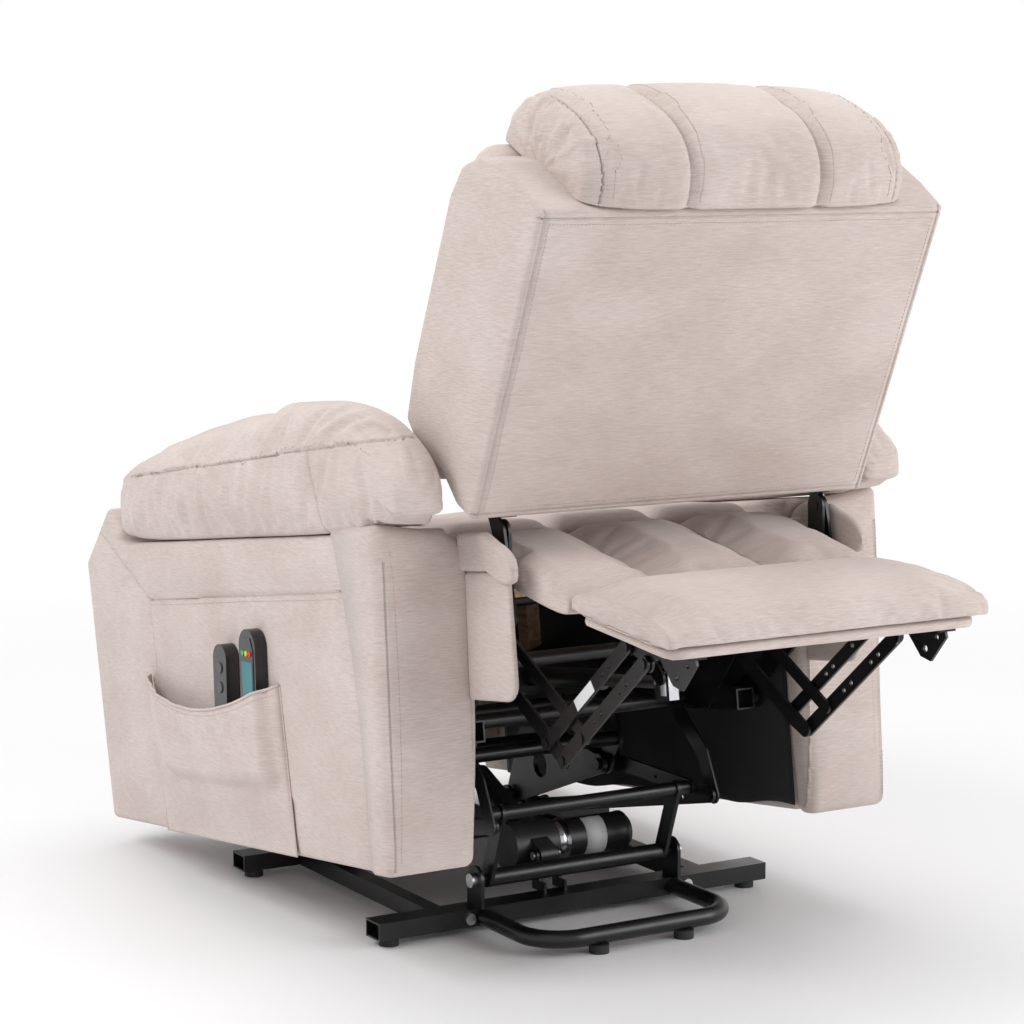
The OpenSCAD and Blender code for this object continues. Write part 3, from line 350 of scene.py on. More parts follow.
seat_tilt, leg_slope, back_lean = -8.0, 4.6, 23.2
lower_pin = Vector((0, 0.0236, 0.2558))
seat_turn = Matrix.Rotation(radians(seat_tilt), 3, "X")
seat_origin = Vector(joint["leg_lower_turn"]["pos_m"]) - seat_turn @ lower_pin
in_seat = local_frame(Vector((middle_x, seat_origin.y, seat_origin.z)), seat_tilt)
in_leg = local_frame(Vector(joint["leg_rest_swing"]["pos_m"]), leg_slope)
back_hinge = Vector(joint["backrest_recline"]["pos_m"])
in_back = local_frame(back_hinge + Vector((0, -0.020, 0.020)), back_lean)


def chenille_cloth(name, light, dark):
    """Chenille whose slubs run along X on every face."""
    material, tree, shader = new_material(name, light, 0.92, Sheen_Weight=0.35, Sheen_Roughness=0.45,
                                          Specular_IOR_Level=0.18)
    shader.inputs["Sheen Tint"].default_value = (1.0, 0.93, 0.90, 1)
    upright = noise_pattern(tree, 55, stretch=(1.0, 1.0, 14.0), detail=4)
    lying = noise_pattern(tree, 55, stretch=(1.0, 14.0, 1.0), detail=4)
    coordinates = tree.nodes.new("ShaderNodeTexCoord")
    parts = tree.nodes.new("ShaderNodeSeparateXYZ")
    tree.links.new(coordinates.outputs["Normal"], parts.inputs[0])
    facing_up = math_node(tree, "MULTIPLY", parts.outputs["Z"], parts.outputs["Z"])
    slubs = tree.nodes.new("ShaderNodeMix")
    tree.links.new(facing_up, slubs.inputs["Factor"])
    tree.links.new(upright, slubs.inputs[2])
    tree.links.new(lying, slubs.inputs[3])
    slub_height = slubs.outputs[0]
    pile = noise_pattern(tree, 900, detail=3)
    patches = noise_pattern(tree, 7, stretch=(1.0, 1.0, 1.6), detail=6)
    base = ramp(tree, patches, 0.30, 0.72, dark, light)
    streaks = ramp(tree, slub_height, 0.34, 0.66, (0.84, 0.83, 0.82), (1.0, 1.0, 1.0))
    fibre = ramp(tree, pile, 0.25, 0.75, (0.86, 0.86, 0.86), (1.0, 1.0, 1.0))
    colour = blend_colours(tree, 1.0, blend_colours(tree, 1.0, base, streaks, "MULTIPLY"), fibre, "MULTIPLY")
    tree.links.new(colour, shader.inputs["Base Color"])
    height = math_node(tree, "ADD", math_node(tree, "MULTIPLY", slub_height, 0.7),
                       math_node(tree, "MULTIPLY", pile, 0.5))
    raise_grain(tree, shader, height, 0.0007)
    return material


chenille = chenille_cloth("chenille", srgb(222, 209, 203), srgb(208, 193, 186))
sewing_thread = coated_metal("sewing_thread", srgb(176, 158, 148), srgb(196, 178, 168), 0.8, grain=2500,
                             depth=0.0001)


def grid_box(cuts):
    """A closed box from -1 to 1, each side cut into a grid, whose points a formula then moves."""
    bm = bmesh.new()
    bmesh.ops.create_cube(bm, size=2)
    for axis, count in enumerate(cuts):
        along = [e for e in bm.edges if abs(e.verts[0].co[axis] - e.verts[1].co[axis]) > 1e-6]
        bmesh.ops.subdivide_edges(bm, edges=along, cuts=count)
    return bm


def rounded_box(point, half, radius):
    """A point of the box from -1 to 1, moved to a box of these half sizes with round edges."""
    place = Vector([point[k] * half[k] for k in range(3)])
    inner = Vector([max(radius - half[k], min(half[k] - radius, place[k])) for k in range(3)])
    away = place - inner
    return inner + away.normalized() * radius if away.length > 1e-9 else place


def stuffed(along, across, up, end_power, side_power, reach=0.985):
    """Where a point of the box lies on a stuffed form: its station from -1 to 1, how full the form is
    there, and its place in the rounded section."""
    ring = max(abs(across), abs(up))
    station = reach * (0.45 * sin(along * pi / 2) + 0.55 * along)
    if ring < 1 - 1e-6:
        end = 1 if along > 0 else -1
        station = end * (reach + (1 - reach) * sqrt(max(0.0, 1 - ring * ring)))
        fullness = (1 - reach ** end_power) ** (1 / end_power)
    else:
        fullness = (1 - abs(station) ** end_power) ** (1 / end_power)
    span = hypot(across, up)
    if span < 1e-9:
        return station, fullness, 0.0, 0.0
    c, s = across / span, up / span
    radius = ring / (abs(c) ** side_power + abs(s) ** side_power) ** (1 / side_power)
    return station, fullness, c * radius, s * radius


def ease(value):
    u = min(1.0, max(0.0, value))
    return u * u * (3 - 2 * u)


def near(value, middle, width):
    return exp(-(((value - middle) / width) ** 2))


def wrinkle(a, b, c, sharp=1.0):
    """Cloth creases: valleys of 0 between folds of up to 1."""
    return abs(noise.noise(Vector((a, b, c)))) ** sharp


def distance_to(points, y, z):
    """Distance from (y, z) to a line through these points."""
    best = 1e9
    for (y0, z0), (y1, z1) in zip(points, points[1:]):
        dy, dz = y1 - y0, z1 - z0
        t = max(0.0, min(1.0, ((y - y0) * dy + (z - z0) * dz) / (dy * dy + dz * dz)))
        best = min(best, hypot(y - y0 - t * dy, z - z0 - t * dz))
    return best


def sew_line(bm, point, normal, depth, half_width, keep):
    """Pulls a seam into the cloth: three cuts side by side, of which the middle one sinks."""
    normal = Vector(normal).normalized()
    middle = []
    for offset in (-half_width, half_width, 0.0):
        at = Vector(point) + normal * offset
        faces = [f for f in bm.faces if abs((f.calc_center_median() - at).dot(normal)) < 0.05
                 and keep(f.calc_center_median())]
        geometry = list({x for f in faces for x in (f, *f.edges, *f.verts)})
        cut = bmesh.ops.bisect_plane(bm, geom=geometry, dist=1e-5, plane_co=at, plane_no=normal)
        middle = [x for x in cut["geom_cut"] if isinstance(x, bmesh.types.BMVert)]
    bm.normal_update()
    for vert in middle:
        vert.co -= vert.normal * depth


def puff(piece, pinned, pressure, cap, growth=0.0, frames=16):
    """Swells the piece like a filled cover held at its seams, and keeps the result in its mesh."""
    group = piece.vertex_groups.new(name="seams")
    for vert in piece.data.vertices:
        weight = pinned(vert.co)
        if weight > 0:
            group.add([vert.index], weight, "REPLACE")
    cloth = piece.modifiers.new("filling", "CLOTH")
    settings = cloth.settings
    settings.vertex_group_mass = "seams"
    settings.quality = 4
    settings.use_pressure = True
    settings.uniform_pressure_force = pressure
    settings.effector_weights.gravity = 0
    settings.shrink_min = -growth
    settings.bending_stiffness = 2.0
    cloth.point_cache.frame_end = frames
    for step in range(1, frames + 1):
        scene.frame_set(step)
    seen = piece.evaluated_get(bpy.context.evaluated_depsgraph_get())
    for vert, swollen in zip(piece.data.vertices, seen.data.vertices):
        moved = swollen.co - vert.co
        if moved.length > cap:
            moved *= cap / moved.length
        vert.co += moved
    piece.modifiers.remove(cloth)
    piece.vertex_groups.clear()
    scene.frame_set(1)


def to_bmesh(piece):
    bm = bmesh.new()
    bm.from_mesh(piece.data)
    return bm


def put_back(bm, piece):
    bm.to_mesh(piece.data)
    bm.free()
    piece.data.polygons.foreach_set("use_smooth", [True] * len(piece.data.polygons))
    piece.data.update()


def walk_line(points, pitch):
    """Evenly spaced places along a line through these points, with the line's direction there."""
    places, left = [], 0.0
    for a, b in zip(points, points[1:]):
        step = b - a
        t = left
        while t < step.length:
            places.append((a + step * (t / step.length), step.normalized()))
            t += pitch
        left = t - step.length
    return places


stitch_half = (0.0021, 0.0006, 0.0004)


def stitches(name, host, points, body, pitch=0.0052):
    """A row of lockstitches that lie on a cover, along a line in the chair's coordinates."""
    bm = bmesh.new()
    for place, way in walk_line([Vector(p) for p in points], pitch):
        spot, normal = host.closest_point_on_mesh(place)[1:3]
        side = normal.cross(way).normalized()
        way = side.cross(normal).normalized()
        turn = Matrix((way, side, normal)).transposed().to_4x4()
        size = Matrix.Diagonal((*stitch_half, 1))
        bmesh.ops.create_icosphere(bm, subdivisions=1, radius=1,
                                   matrix=Matrix.Translation(spot + normal * 0.0001) @ turn @ size)
    return new_piece(bm, name, sewing_thread, body)


# ---------------------------------------------------------------- seat cushion
# The seat is one foam block on the springs, sewn into three channels, flat underneath.
seat_half_w, seat_y0, seat_y1 = 0.252, 0.006, 0.812
seat_z0, seat_z1 = 0.3705, 0.452
seat_channels = (-0.084, 0.084)
bm = grid_box((62, 70, 7))
for vert in bm.verts:
    half = Vector((seat_half_w - 0.002, (seat_y1 - seat_y0) / 2, (seat_z1 - seat_z0) / 2 - 0.004))
    p = rounded_box(vert.co, half, 0.030)
    u, v = p.x / half.x, p.y / half.y
    if p.z > 0:
        pinch = max(near(p.x, c, 0.016) for c in seat_channels)
        p.z *= 1 - 0.35 * pinch
        p.z += 0.010 * (1 - u ** 4) * (1 - v ** 4) * (1 - pinch)
        p.z += 0.003 * noise.noise(Vector((p.x * 9, p.y * 7, 1.3)))
    vert.co = p + Vector((0, (seat_y0 + seat_y1) / 2, (seat_z0 + seat_z1) / 2 - 0.003))
for channel in seat_channels:
    sew_line(bm, (channel, 0, 0), (1, 0, 0), 0.004, 0.003, lambda co: co.z > seat_z0 + 0.025)
place_in(in_seat, bm)
seat_cover = new_piece(bm, "seat_cushion_cover", chenille, "chassis")
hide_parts("seat_cushion")

# ---------------------------------------------------------------- front apron
# A padded board closes the chair below the seat's far edge, with a roll along its top.
bm = grid_box((44, 4, 36))
for vert in bm.verts:
    p = rounded_box(vert.co, (0.2742, 0.021, 0.182), 0.016)
    z = p.z + 0.242
    share = ease((z - 0.06) / 0.32)
    deep = 0.036 + 0.008 * share
    y = 0.822 + (p.y / 0.042 + 0.5) * deep
    if p.y > 0:
        y += 0.003 * (1 - (p.x / 0.274) ** 4) * noise.noise(Vector((p.x * 8, z * 8, 4.0)))
    vert.co = Vector((p.x, y, z))
sew_line(bm, (0, 0, 0.352), (0, 0, 1), 0.003, 0.003, lambda co: co.y > 0.84)
place_in(in_seat, bm)
apron = new_piece(bm, "front_apron_cover", chenille, "chassis")
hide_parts("front_apron")

# ---------------------------------------------------------------- arm covers
# Each arm is a board box wrapped in the chenille. Seams part its outside into a band below the pad, a
# panel at the far end and the wide panel that carries the pocket.
arm_sides = (("left", -1), ("right", 1))
arm_in_x, arm_out_x = 0.275, 0.403
arm_outline = [(0, 0), (0.891, 0.013), (0.926, 0.419), (0.823, 0.503), (0.782, 0.463), (0.782, 0.445),
               (-0.028, 0.445)]
near_joint, far_joint = (0.041, 0.369), (0.681, 0.358)
band_seam = [(-0.022, 0.352), near_joint, far_joint]
corner_seam = [far_joint, (0.844, 0.456)]
far_seam = [far_joint, (0.650, 0.008)]
cover_seam_deep, cover_seam_half_w = 0.0035, 0.0028


def strip_edge_y(z):
    """How far the end panel's side strip reaches along an arm at height z."""
    return 0.004 + 0.052 * max(0.0, (z - 0.10) / 0.36) ** 2.2


strip_seam = [(strip_edge_y(k * 0.046), k * 0.046) for k in range(11)]


def grid_cuts(bm, axis, places):
    """Cuts a solid into even strips across one axis."""
    normal = Vector([1.0 if k == axis else 0.0 for k in range(3)])
    for place in places:
        bmesh.ops.bisect_plane(bm, geom=[*bm.verts, *bm.edges, *bm.faces], dist=1e-6,
                               plane_co=normal * place, plane_no=normal)


def steps(first, last, pitch):
    count = max(2, round((last - first) / pitch))
    return [first + (last - first) * k / count for k in range(1, count)]


def extrude_x(bm, face, width):
    """Makes a solid of a face by extruding it along X."""
    grown = bmesh.ops.extrude_face_region(bm, geom=[face])
    bmesh.ops.translate(bm, vec=(width, 0, 0),
                        verts=[v for v in grown["geom"] if isinstance(v, bmesh.types.BMVert)])


def outline_block(outline, x0, x1, edge, pitch):
    """An outline given as (y, z), made x1 - x0 wide with soft edges, and cut into a grid."""
    bm = bmesh.new()
    side = bm.faces.new([bm.verts.new((x0, y, z)) for y, z in outline])
    extrude_x(bm, side, x1 - x0)
    bmesh.ops.bevel(bm, geom=list(bm.edges), offset=edge, segments=4, profile=0.5, affect="EDGES",
                    material=-1, clamp_overlap=True)
    bmesh.ops.recalc_face_normals(bm, faces=bm.faces)
    low = [min(p[k] for p in outline) for k in range(2)]
    high = [max(p[k] for p in outline) for k in range(2)]
    grid_cuts(bm, 1, steps(low[0], high[0], pitch))
    grid_cuts(bm, 2, steps(low[1], high[1], pitch))
    grid_cuts(bm, 0, steps(x0, x1, pitch * 1.4))
    return bm


def swell_panels(bm, seams, outer_x, heights, width=0.022):
    """Puffs the cloth of an outer face up between its seams; heights is a function of (y, z)."""
    for vert in bm.verts:
        if abs(vert.co.x - outer_x) < 0.004:
            y, z = vert.co.y, vert.co.z
            away = min(distance_to(line, y, z) for line in seams)
            rise = heights(y, z) * (1 - exp(-((away / width) ** 2)))
            vert.co.x += rise if outer_x > 0 else -rise


arm_covers = {}
for name, side in arm_sides:
    x0, x1 = sorted((side * arm_in_x, side * arm_out_x))
    bm = outline_block(arm_outline, x0, x1, 0.012, 0.013)
    frame_lines = [band_seam, corner_seam, far_seam, strip_seam, [*arm_outline, arm_outline[0]]]

    def panel_height(y, z):
        if y < strip_edge_y(z):
            return 0.0
        band = z > 0.36 and y < 0.68 or z - far_joint[1] > (y - far_joint[0]) * 0.6
        handset_room = 1 - 0.70 * near(y, 0.34, 0.13)
        puffs = 0.0022 * noise.noise(Vector((y * 6, z * 5, 2.0 + side)))
        return handset_room * ((0.0065 if band else 0.0035) + puffs)

    swell_panels(bm, frame_lines, side * arm_out_x, panel_height)

    def outside(co):
        return co.x * side > arm_out_x - 0.012

    for start, square_to, deep, keep in (
        (near_joint, (0, 0.011, 0.640), cover_seam_deep, lambda co: 0.03 < co.y < far_joint[0]),
        (near_joint, (0, -0.017, 0.063), cover_seam_deep, lambda co: co.y <= 0.045),
        (far_joint, (0, -0.098, 0.163), cover_seam_deep, lambda co: far_joint[0] < co.y < 0.86),
        (far_joint, (0, 0.350, -0.031), 0.0030, lambda co: co.z < far_joint[1]),
    ):
        sew_line(bm, (0, *start), square_to, deep, cover_seam_half_w,
                 lambda co: outside(co) and keep(co))
    bmesh.ops.triangulate(bm, faces=[f for f in bm.faces if len(f.verts) > 4])
    place_in(in_seat, bm)
    cover = new_piece(bm, f"arm_{name}_cover_cloth", chenille, "chassis")
    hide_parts(f"arm_{name}_cover")
    arm_covers[name] = cover


def seat_points(x, line, count=24):
    """Points along a line of (y, z) on an arm's outside, in the chair's coordinates."""
    points = []
    for (y0, z0), (y1, z1) in zip(line, line[1:]):
        for k in range(count):
            t = k / count
            points.append(in_seat @ Vector((x, y0 + (y1 - y0) * t, z0 + (z1 - z0) * t)))
    points.append(in_seat @ Vector((x, *line[-1])))
    return points


for name, side in arm_sides:
    lowered = [(y, z - 0.007) for y, z in band_seam]
    stitches(f"arm_{name}_band_stitches", arm_covers[name],
             seat_points(side * (arm_out_x + 0.01), lowered), "chassis")

# ---------------------------------------------------------------- arm pads
# A thick bolster lies on each arm. Its top panel is sewn to a gathered side band, and a plain cap closes
# its near end. The gathers run down from the top seam to the band below.
pad_y0, pad_y1, pad_peak_y = -0.136, 0.780, 0.121
pad_floor, pad_peak_z, pad_out_x = 0.4455, 0.621, 0.412


def pad_top(y):
    if y < pad_peak_y:
        t = (pad_peak_y - y) / (pad_peak_y - pad_y0)
        return pad_floor + 0.062 + (pad_peak_z - pad_floor - 0.062) * max(0.0, 1 - t ** 2.4) ** (1 / 2.4)
    return pad_peak_z - 0.044 * ((y - pad_peak_y) / (pad_y1 - pad_peak_y)) ** 2.2


def pad_seam_z(y):
    """Height of the seam between the top panel and the side."""
    return 0.560 - 0.0225 * (y - 0.098) - 0.16 * max(0.0, y - 0.70) - 0.10 * max(0.0, 0.02 - y)


def cap_seam_y(z):
    return 0.066 + 0.31 * (z - 0.449)


def gathers(y, z):
    """Folds of the gathered side: deep by the seams, and fanning out from the cap."""
    up = (z - pad_floor) / (pad_seam_z(y) - pad_floor)
    if not 0 < up < 1 or y < cap_seam_y(z):
        return 0.0
    lean = 0.30 * (1 - up) * near(y, 0.16, 0.16)
    across = y - lean * 0.11
    fold = 0.6 * wrinkle(across * 19, z * 3.0, 0.7) + 0.4 * wrinkle(across * 44, z * 5.0, 5.2)
    away = y - cap_seam_y(z)
    held = min(1.0, away / 0.02) * (0.40 + 0.60 * near(up, 0.95, 0.45))
    far = 1 - 0.35 * ease((y - 0.62) / 0.15)
    strong = 1 + 0.9 * near(y, 0.52, 0.15)
    return 0.0150 * held * far * strong * (fold - 0.22)


for name, side in arm_sides:
    bm = grid_box((26, 150, 22))
    y_mid, y_half = (pad_y0 + pad_y1) / 2, (pad_y1 - pad_y0) / 2
    for vert in bm.verts:
        along, across, up = vert.co.y, vert.co.x, vert.co.z
        section_power = 2.9 if up > 0 else 7.0
        station, full, cx, cz = stuffed(along, across, up, 4.2 if along < 0 else 5.0, section_power)
        y = y_mid + station * y_half
        floor_z = pad_floor + 0.014 * ease((-0.062 - y) / 0.06)
        top = max(pad_top(y), floor_z + 0.008)
        middle = floor_z + 0.42 * (top - floor_z)
        inner = 0.320 - 0.032 * ease((y - 0.190) / 0.140)
        x = (inner + pad_out_x) / 2 + (pad_out_x - inner) / 2 * cx * (0.45 + 0.55 * full)
        rise = (top - middle) * (0.3 + 0.7 * full) if cz > 0 else (middle - floor_z) * (0.25 + 0.75 * full)
        z = max(floor_z, middle + rise * cz)
        vert.co = Vector((side * x, y, z))
    clean_up(bm)
    pad = new_piece(bm, f"arm_{name}_pad_cover", chenille, None)

    def pad_pins(co):
        if co.z < pad_floor + 0.006:
            return 1.0
        outer = co.x * side > 0.37
        if outer and abs(co.z - pad_seam_z(co.y)) < 0.006 and co.y > -0.05:
            return 0.9
        if outer and abs(co.y - cap_seam_y(co.z)) < 0.006 and co.z < 0.558:
            return 0.9
        return 0.0

    puff(pad, pad_pins, 3.0, 0.009, growth=0.025)
    bm = to_bmesh(pad)

    def on_side(co):
        return co.x * side > 0.35

    def low_half(co):
        return on_side(co) and co.z < 0.566

    for vert in bm.verts:
        if on_side(vert.co):
            vert.co.x += side * gathers(vert.co.y, vert.co.z) * ease((vert.co.x * side - 0.385) / 0.02)
    sew_line(bm, (0, 0.098, 0.560), (0, 0.0225, 1.0), 0.0045, 0.0030,
             lambda co: on_side(co) and -0.12 < co.y < 0.72)
    sew_line(bm, (0, 0.066, 0.449), (0, 1.0, -0.31), 0.0050, 0.0030,
             lambda co: low_half(co) and co.z < 0.560)
    place_in(in_seat, bm)
    put_back(bm, pad)
    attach(pad, "chassis")
    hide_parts(f"arm_{name}_pad")
    above = [(y / 100, pad_seam_z(y / 100) + 0.007) for y in range(-8, 71, 2)]
    stitches(f"arm_{name}_pad_stitches", pad, seat_points(side * 0.43, above, 2), "chassis")

# ---------------------------------------------------------------- end panels
# A padded board closes the near end of each arm. Its face is sewn to a side strip that wraps onto the
# arm's outside and widens towards the top; the top drops towards the seat and its corner there is round.
panel_in_x, panel_out_x = 0.2625, 0.4085
panel_z0, panel_z1 = -0.004, 0.458
panel_thick = 0.040
panel_corner = 0.046
face_lean = 28 / 440
strip_out_x = 0.4034

for name, side in arm_sides:
    bm = grid_box((28, 7, 64))
    half = Vector(((panel_out_x - panel_in_x) / 2, panel_thick / 2, (panel_z1 - panel_z0) / 2))
    inner = Vector((half.x - panel_corner, half.z - panel_corner))
    for vert in bm.verts:
        wrap = vert.co.x < -0.9
        p = rounded_box(vert.co, half, 0.014)
        u, w = p.x / half.x, p.z / half.z
        if p.x > inner.x and p.z > inner.y:
            corner = Vector((p.x - inner.x, p.z - inner.y))
            corner *= max(corner) / corner.length
            p.x, p.z = inner.x + corner.x, inner.y + corner.y
        z = panel_z0 + p.z + half.z - 0.023 * (u + 1) / 2 * ease((w - 0.3) / 0.7)
        y = p.y
        if p.y < 0:
            y -= 0.008 * (1 - u ** 4) * (1 - abs(w) ** 8)
            y += 0.0016 * noise.noise(Vector((u * 1.6, z * 6, 3.0 * side)))
        y += -panel_thick / 2 - face_lean * z - 0.0005
        x = p.x + 0.012 * (1 - z / 0.28) * ease(1 - z / 0.28) * -ease(u)
        if wrap and p.y > 0:
            y = max(y, strip_edge_y(z))
        vert.co = Vector((-side * x + side * (panel_in_x + panel_out_x) / 2, y, z))
    for vert in bm.verts:
        if vert.co.y > -face_lean * vert.co.z + 0.001 and abs(vert.co.x) < strip_out_x:
            vert.co.x = side * strip_out_x
    bmesh.ops.recalc_face_normals(bm, faces=bm.faces)
    for seam_x in (panel_out_x - 0.012, panel_in_x + 0.012):
        sew_line(bm, (side * seam_x, 0, 0), (1, 0, 0), 0.0030, 0.0022,
                 lambda co: co.y < -0.026 - face_lean * co.z and 0.004 < co.z < 0.405)
    place_in(in_seat, bm)
    panel = new_piece(bm, f"arm_{name}_end_panel_cover", chenille, "chassis")
    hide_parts(f"arm_{name}_end_panel")
    run = [in_seat @ Vector((side * (panel_out_x - 0.018), -0.08 - face_lean * k / 100, k / 100))
           for k in range(1, 43)]
    stitches(f"arm_{name}_end_stitches", panel, run, "chassis")

# ---------------------------------------------------------------- linings and flaps
# Thin black cloth is stapled over the inside of each arm below the seat. A padded flap hangs beside the
# leg rest on each side and hides the recline levers; the stuffed wing above it lines up with the calf pad.
lining_cloth, tree, shader = new_material("lining_cloth", (0.006, 0.006, 0.007), 0.88, Sheen_Weight=0.12)
weave = noise_pattern(tree, 1500, detail=2)
tree.links.new(ramp(tree, weave, 0.3, 0.7, (0.003, 0.003, 0.004), (0.011, 0.011, 0.012)),
               shader.inputs["Base Color"])
raise_grain(tree, shader, weave, 0.0002)
lining_x, lining_low, lining_high = 0.2727, 0.008, 0.329
for name, side in arm_sides:
    bm = bmesh.new()
    bmesh.ops.create_grid(bm, x_segments=80, y_segments=34, size=0.5)
    for vert in bm.verts:
        t, up = vert.co.x + 0.5, vert.co.y + 0.5
        y = -0.004 + t * 0.812
        low = lining_low + 0.004 * sin(t * 26) + 0.003 * noise.noise(Vector((t * 9, 0.4, side)))
        z = low + up * (lining_high - low)
        ripple = 0.0010 * sin(t * 40 + 2 * noise.noise(Vector((t * 5, up * 3, 1)))) * (1 - up)
        vert.co = Vector((side * (lining_x + ripple), y, z))
    bmesh.ops.recalc_face_normals(bm, faces=bm.faces)
    bmesh.ops.solidify(bm, geom=bm.faces, thickness=0.0006)
    place_in(in_seat, bm)
    lining = new_piece(bm, f"arm_{name}_lining", lining_cloth, "chassis")
    if side < 0:
        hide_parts("arm_linings")

flap_in_x, flap_thick, wing_thick = 0.2697, 0.009, 0.016
flap_y0, flap_y1, flap_z0, flap_z1 = -0.178, -0.058, 0.217, 0.384
flap_corner, wing_radius = 0.026, 0.0255
wing_near, wing_bend, wing_far = Vector((-0.186, 0.385)), Vector((-0.132, 0.411)), Vector((-0.068, 0.412))


def round_corner(y, z, centre_y, centre_z):
    """Pulls the square corner beyond a centre, low and near, onto a quarter circle."""
    away = Vector((min(0.0, y - centre_y), min(0.0, z - centre_z)))
    if away.length < 1e-9:
        return y, z
    pulled = away * (max(-away.x, -away.y) / away.length)
    return y + pulled.x - away.x, z + pulled.y - away.y


def wing_middle(t):
    """The wing's middle line as (y, z), from its near tip, 0, to the end panel, 1."""
    bend = 0.48
    if t < bend:
        return wing_near.lerp(wing_bend, t / bend)
    return wing_bend.lerp(wing_far, (t - bend) / (1 - bend))


bm = bmesh.new()
for side in (-1, 1):
    flap = grid_box((3, 26, 34))
    half = Vector((flap_thick / 2, (flap_y1 - flap_y0) / 2, (flap_z1 - flap_z0) / 2))
    for vert in flap.verts:
        p = rounded_box(vert.co, half, 0.004)
        y, z = (flap_y0 + flap_y1) / 2 + p.y, (flap_z0 + flap_z1) / 2 + p.z
        y, z = round_corner(y, z, flap_y0 + flap_corner, flap_z0 + flap_corner)
        y -= 0.010 * (z - flap_z0) / (flap_z1 - flap_z0) * ease(p.y / half.y)
        full = (1 - (p.y / half.y) ** 4) * (1 - (p.z / half.z) ** 4)
        bulge = 0.002 * full * (1 + noise.noise(Vector((y * 12, z * 9, side)))) if p.x > 0 else 0.0
        vert.co = Vector((side * (flap_in_x + half.x + p.x + bulge), y, z))
    wing = grid_box((7, 30, 14))
    for vert in wing.verts:
        along = (vert.co.y + 1) / 2
        half = Vector((wing_thick / 2, 1.0, wing_radius))
        p = rounded_box(Vector((vert.co.x, 0, vert.co.z)), half, wing_thick / 2 - 0.0004)
        middle = wing_middle(along)
        tip = sqrt(max(0.0, 1 - max(0.0, (0.22 - along) / 0.22) ** 2))
        place_y = middle.x - wing_radius * max(0.0, (0.22 - along) / 0.22) * 0.55
        vert.co = Vector((side * (flap_in_x + wing_thick / 2 + p.x * (0.5 + 0.5 * tip)), place_y,
                          middle.y + p.z * (0.25 + 0.75 * tip)))
    for part in (flap, wing):
        bmesh.ops.recalc_face_normals(part, faces=part.faces)
        part_mesh = bpy.data.meshes.new("flap_part")
        part.to_mesh(part_mesh)
        part.free()
        bm.from_mesh(part_mesh)
        bpy.data.meshes.remove(part_mesh)
place_in(in_seat, bm)
flaps = new_piece(bm, "seat_side_flap_covers", chenille, "chassis")
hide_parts("seat_side_flaps")

# ---------------------------------------------------------------- side pocket
# One sheet of the chenille is sewn to the arm along both sides and its foot. Its hemmed mouth hangs open
# in a shallow curve, and slack folds run down from it.
pocket_bulge, handset_depth = 0.036, 0.0315
pocket_near, pocket_far = 0.224, 0.662


def pocket_mouth(t):
    """Height of the mouth; t runs from the near seam, 0, to the far one, 1."""
    return 0.241 - 0.040 * sin(pi * t) ** 0.9 + 0.004 * t


def pocket_point(t, up, out=0.0):
    """A point of the pocket: t along the mouth, up from the foot, 0, to the mouth, 1."""
    lean_near, lean_far = 0.016 * up, 0.024 * up
    y = (pocket_near + lean_near) * (1 - t) + (pocket_far + lean_far) * t
    low = 0.004 + 0.006 * t
    z = low + up * (pocket_mouth(t) - low)
    open_here = sin(pi * t) ** 0.45 if 0 < t < 1 else 0.0
    depth = 0.0012 + (pocket_bulge - 0.004) * open_here * ease(up * 1.15) ** 0.8
    down = 0.25 + 0.75 * up
    fold = wrinkle(t * 9 + (1 - up) * (0.5 - t) * 2.4, up * 1.3, 8.0) - 0.10
    small = wrinkle(t * 21, up * 2.0, 3.0) - 0.1
    depth += open_here * (0.010 * fold * down + 0.004 * small * near(up, 0.9, 0.3))
    if 0.30 < up:
        room = handset_depth * ease((t - 0.01) / 0.06) * ease((0.93 - t) / 0.12)
        depth = max(depth, room * ease((up - 0.30) / 0.25))
    return Vector((-(arm_out_x + 0.004 + max(0.0008, depth) + out), y, z))


bm = bmesh.new()
bmesh.ops.create_grid(bm, x_segments=110, y_segments=60, size=0.5)
for vert in bm.verts:
    vert.co = pocket_point(vert.co.x + 0.5, vert.co.y + 0.5)
bmesh.ops.recalc_face_normals(bm, faces=bm.faces)
if sum(f.normal.x for f in bm.faces) > 0:
    bmesh.ops.reverse_faces(bm, faces=bm.faces)
bmesh.ops.solidify(bm, geom=bm.faces, thickness=0.0016)
place_in(in_seat, bm)
pocket = new_piece(bm, "side_pocket_pouch", chenille, "chassis")
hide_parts("side_pocket")


def cord_along(name, points, radius, material, body, sides=8):
    """A thin sewn edge or piping: a round section swept along points."""
    curve = bpy.data.curves.new(name + "_line", "CURVE")
    curve.dimensions = "3D"
    curve.bevel_depth = radius
    curve.bevel_resolution = (sides - 4) // 2
    curve.use_fill_caps = True
    spline = curve.splines.new("POLY")
    spline.points.add(len(points) - 1)
    for spot, place in zip(spline.points, points):
        spot.co = (*place, 1)
    holder = bpy.data.objects.new(name + "_holder", curve)
    scene.collection.objects.link(holder)
    mesh = bpy.data.meshes.new_from_object(holder.evaluated_get(bpy.context.evaluated_depsgraph_get()))
    bpy.data.objects.remove(holder)
    bpy.data.curves.remove(curve)
    bm = bmesh.new()
    bm.from_mesh(mesh)
    bpy.data.meshes.remove(mesh)
    clean_up(bm)
    return new_piece(bm, name, material, body)


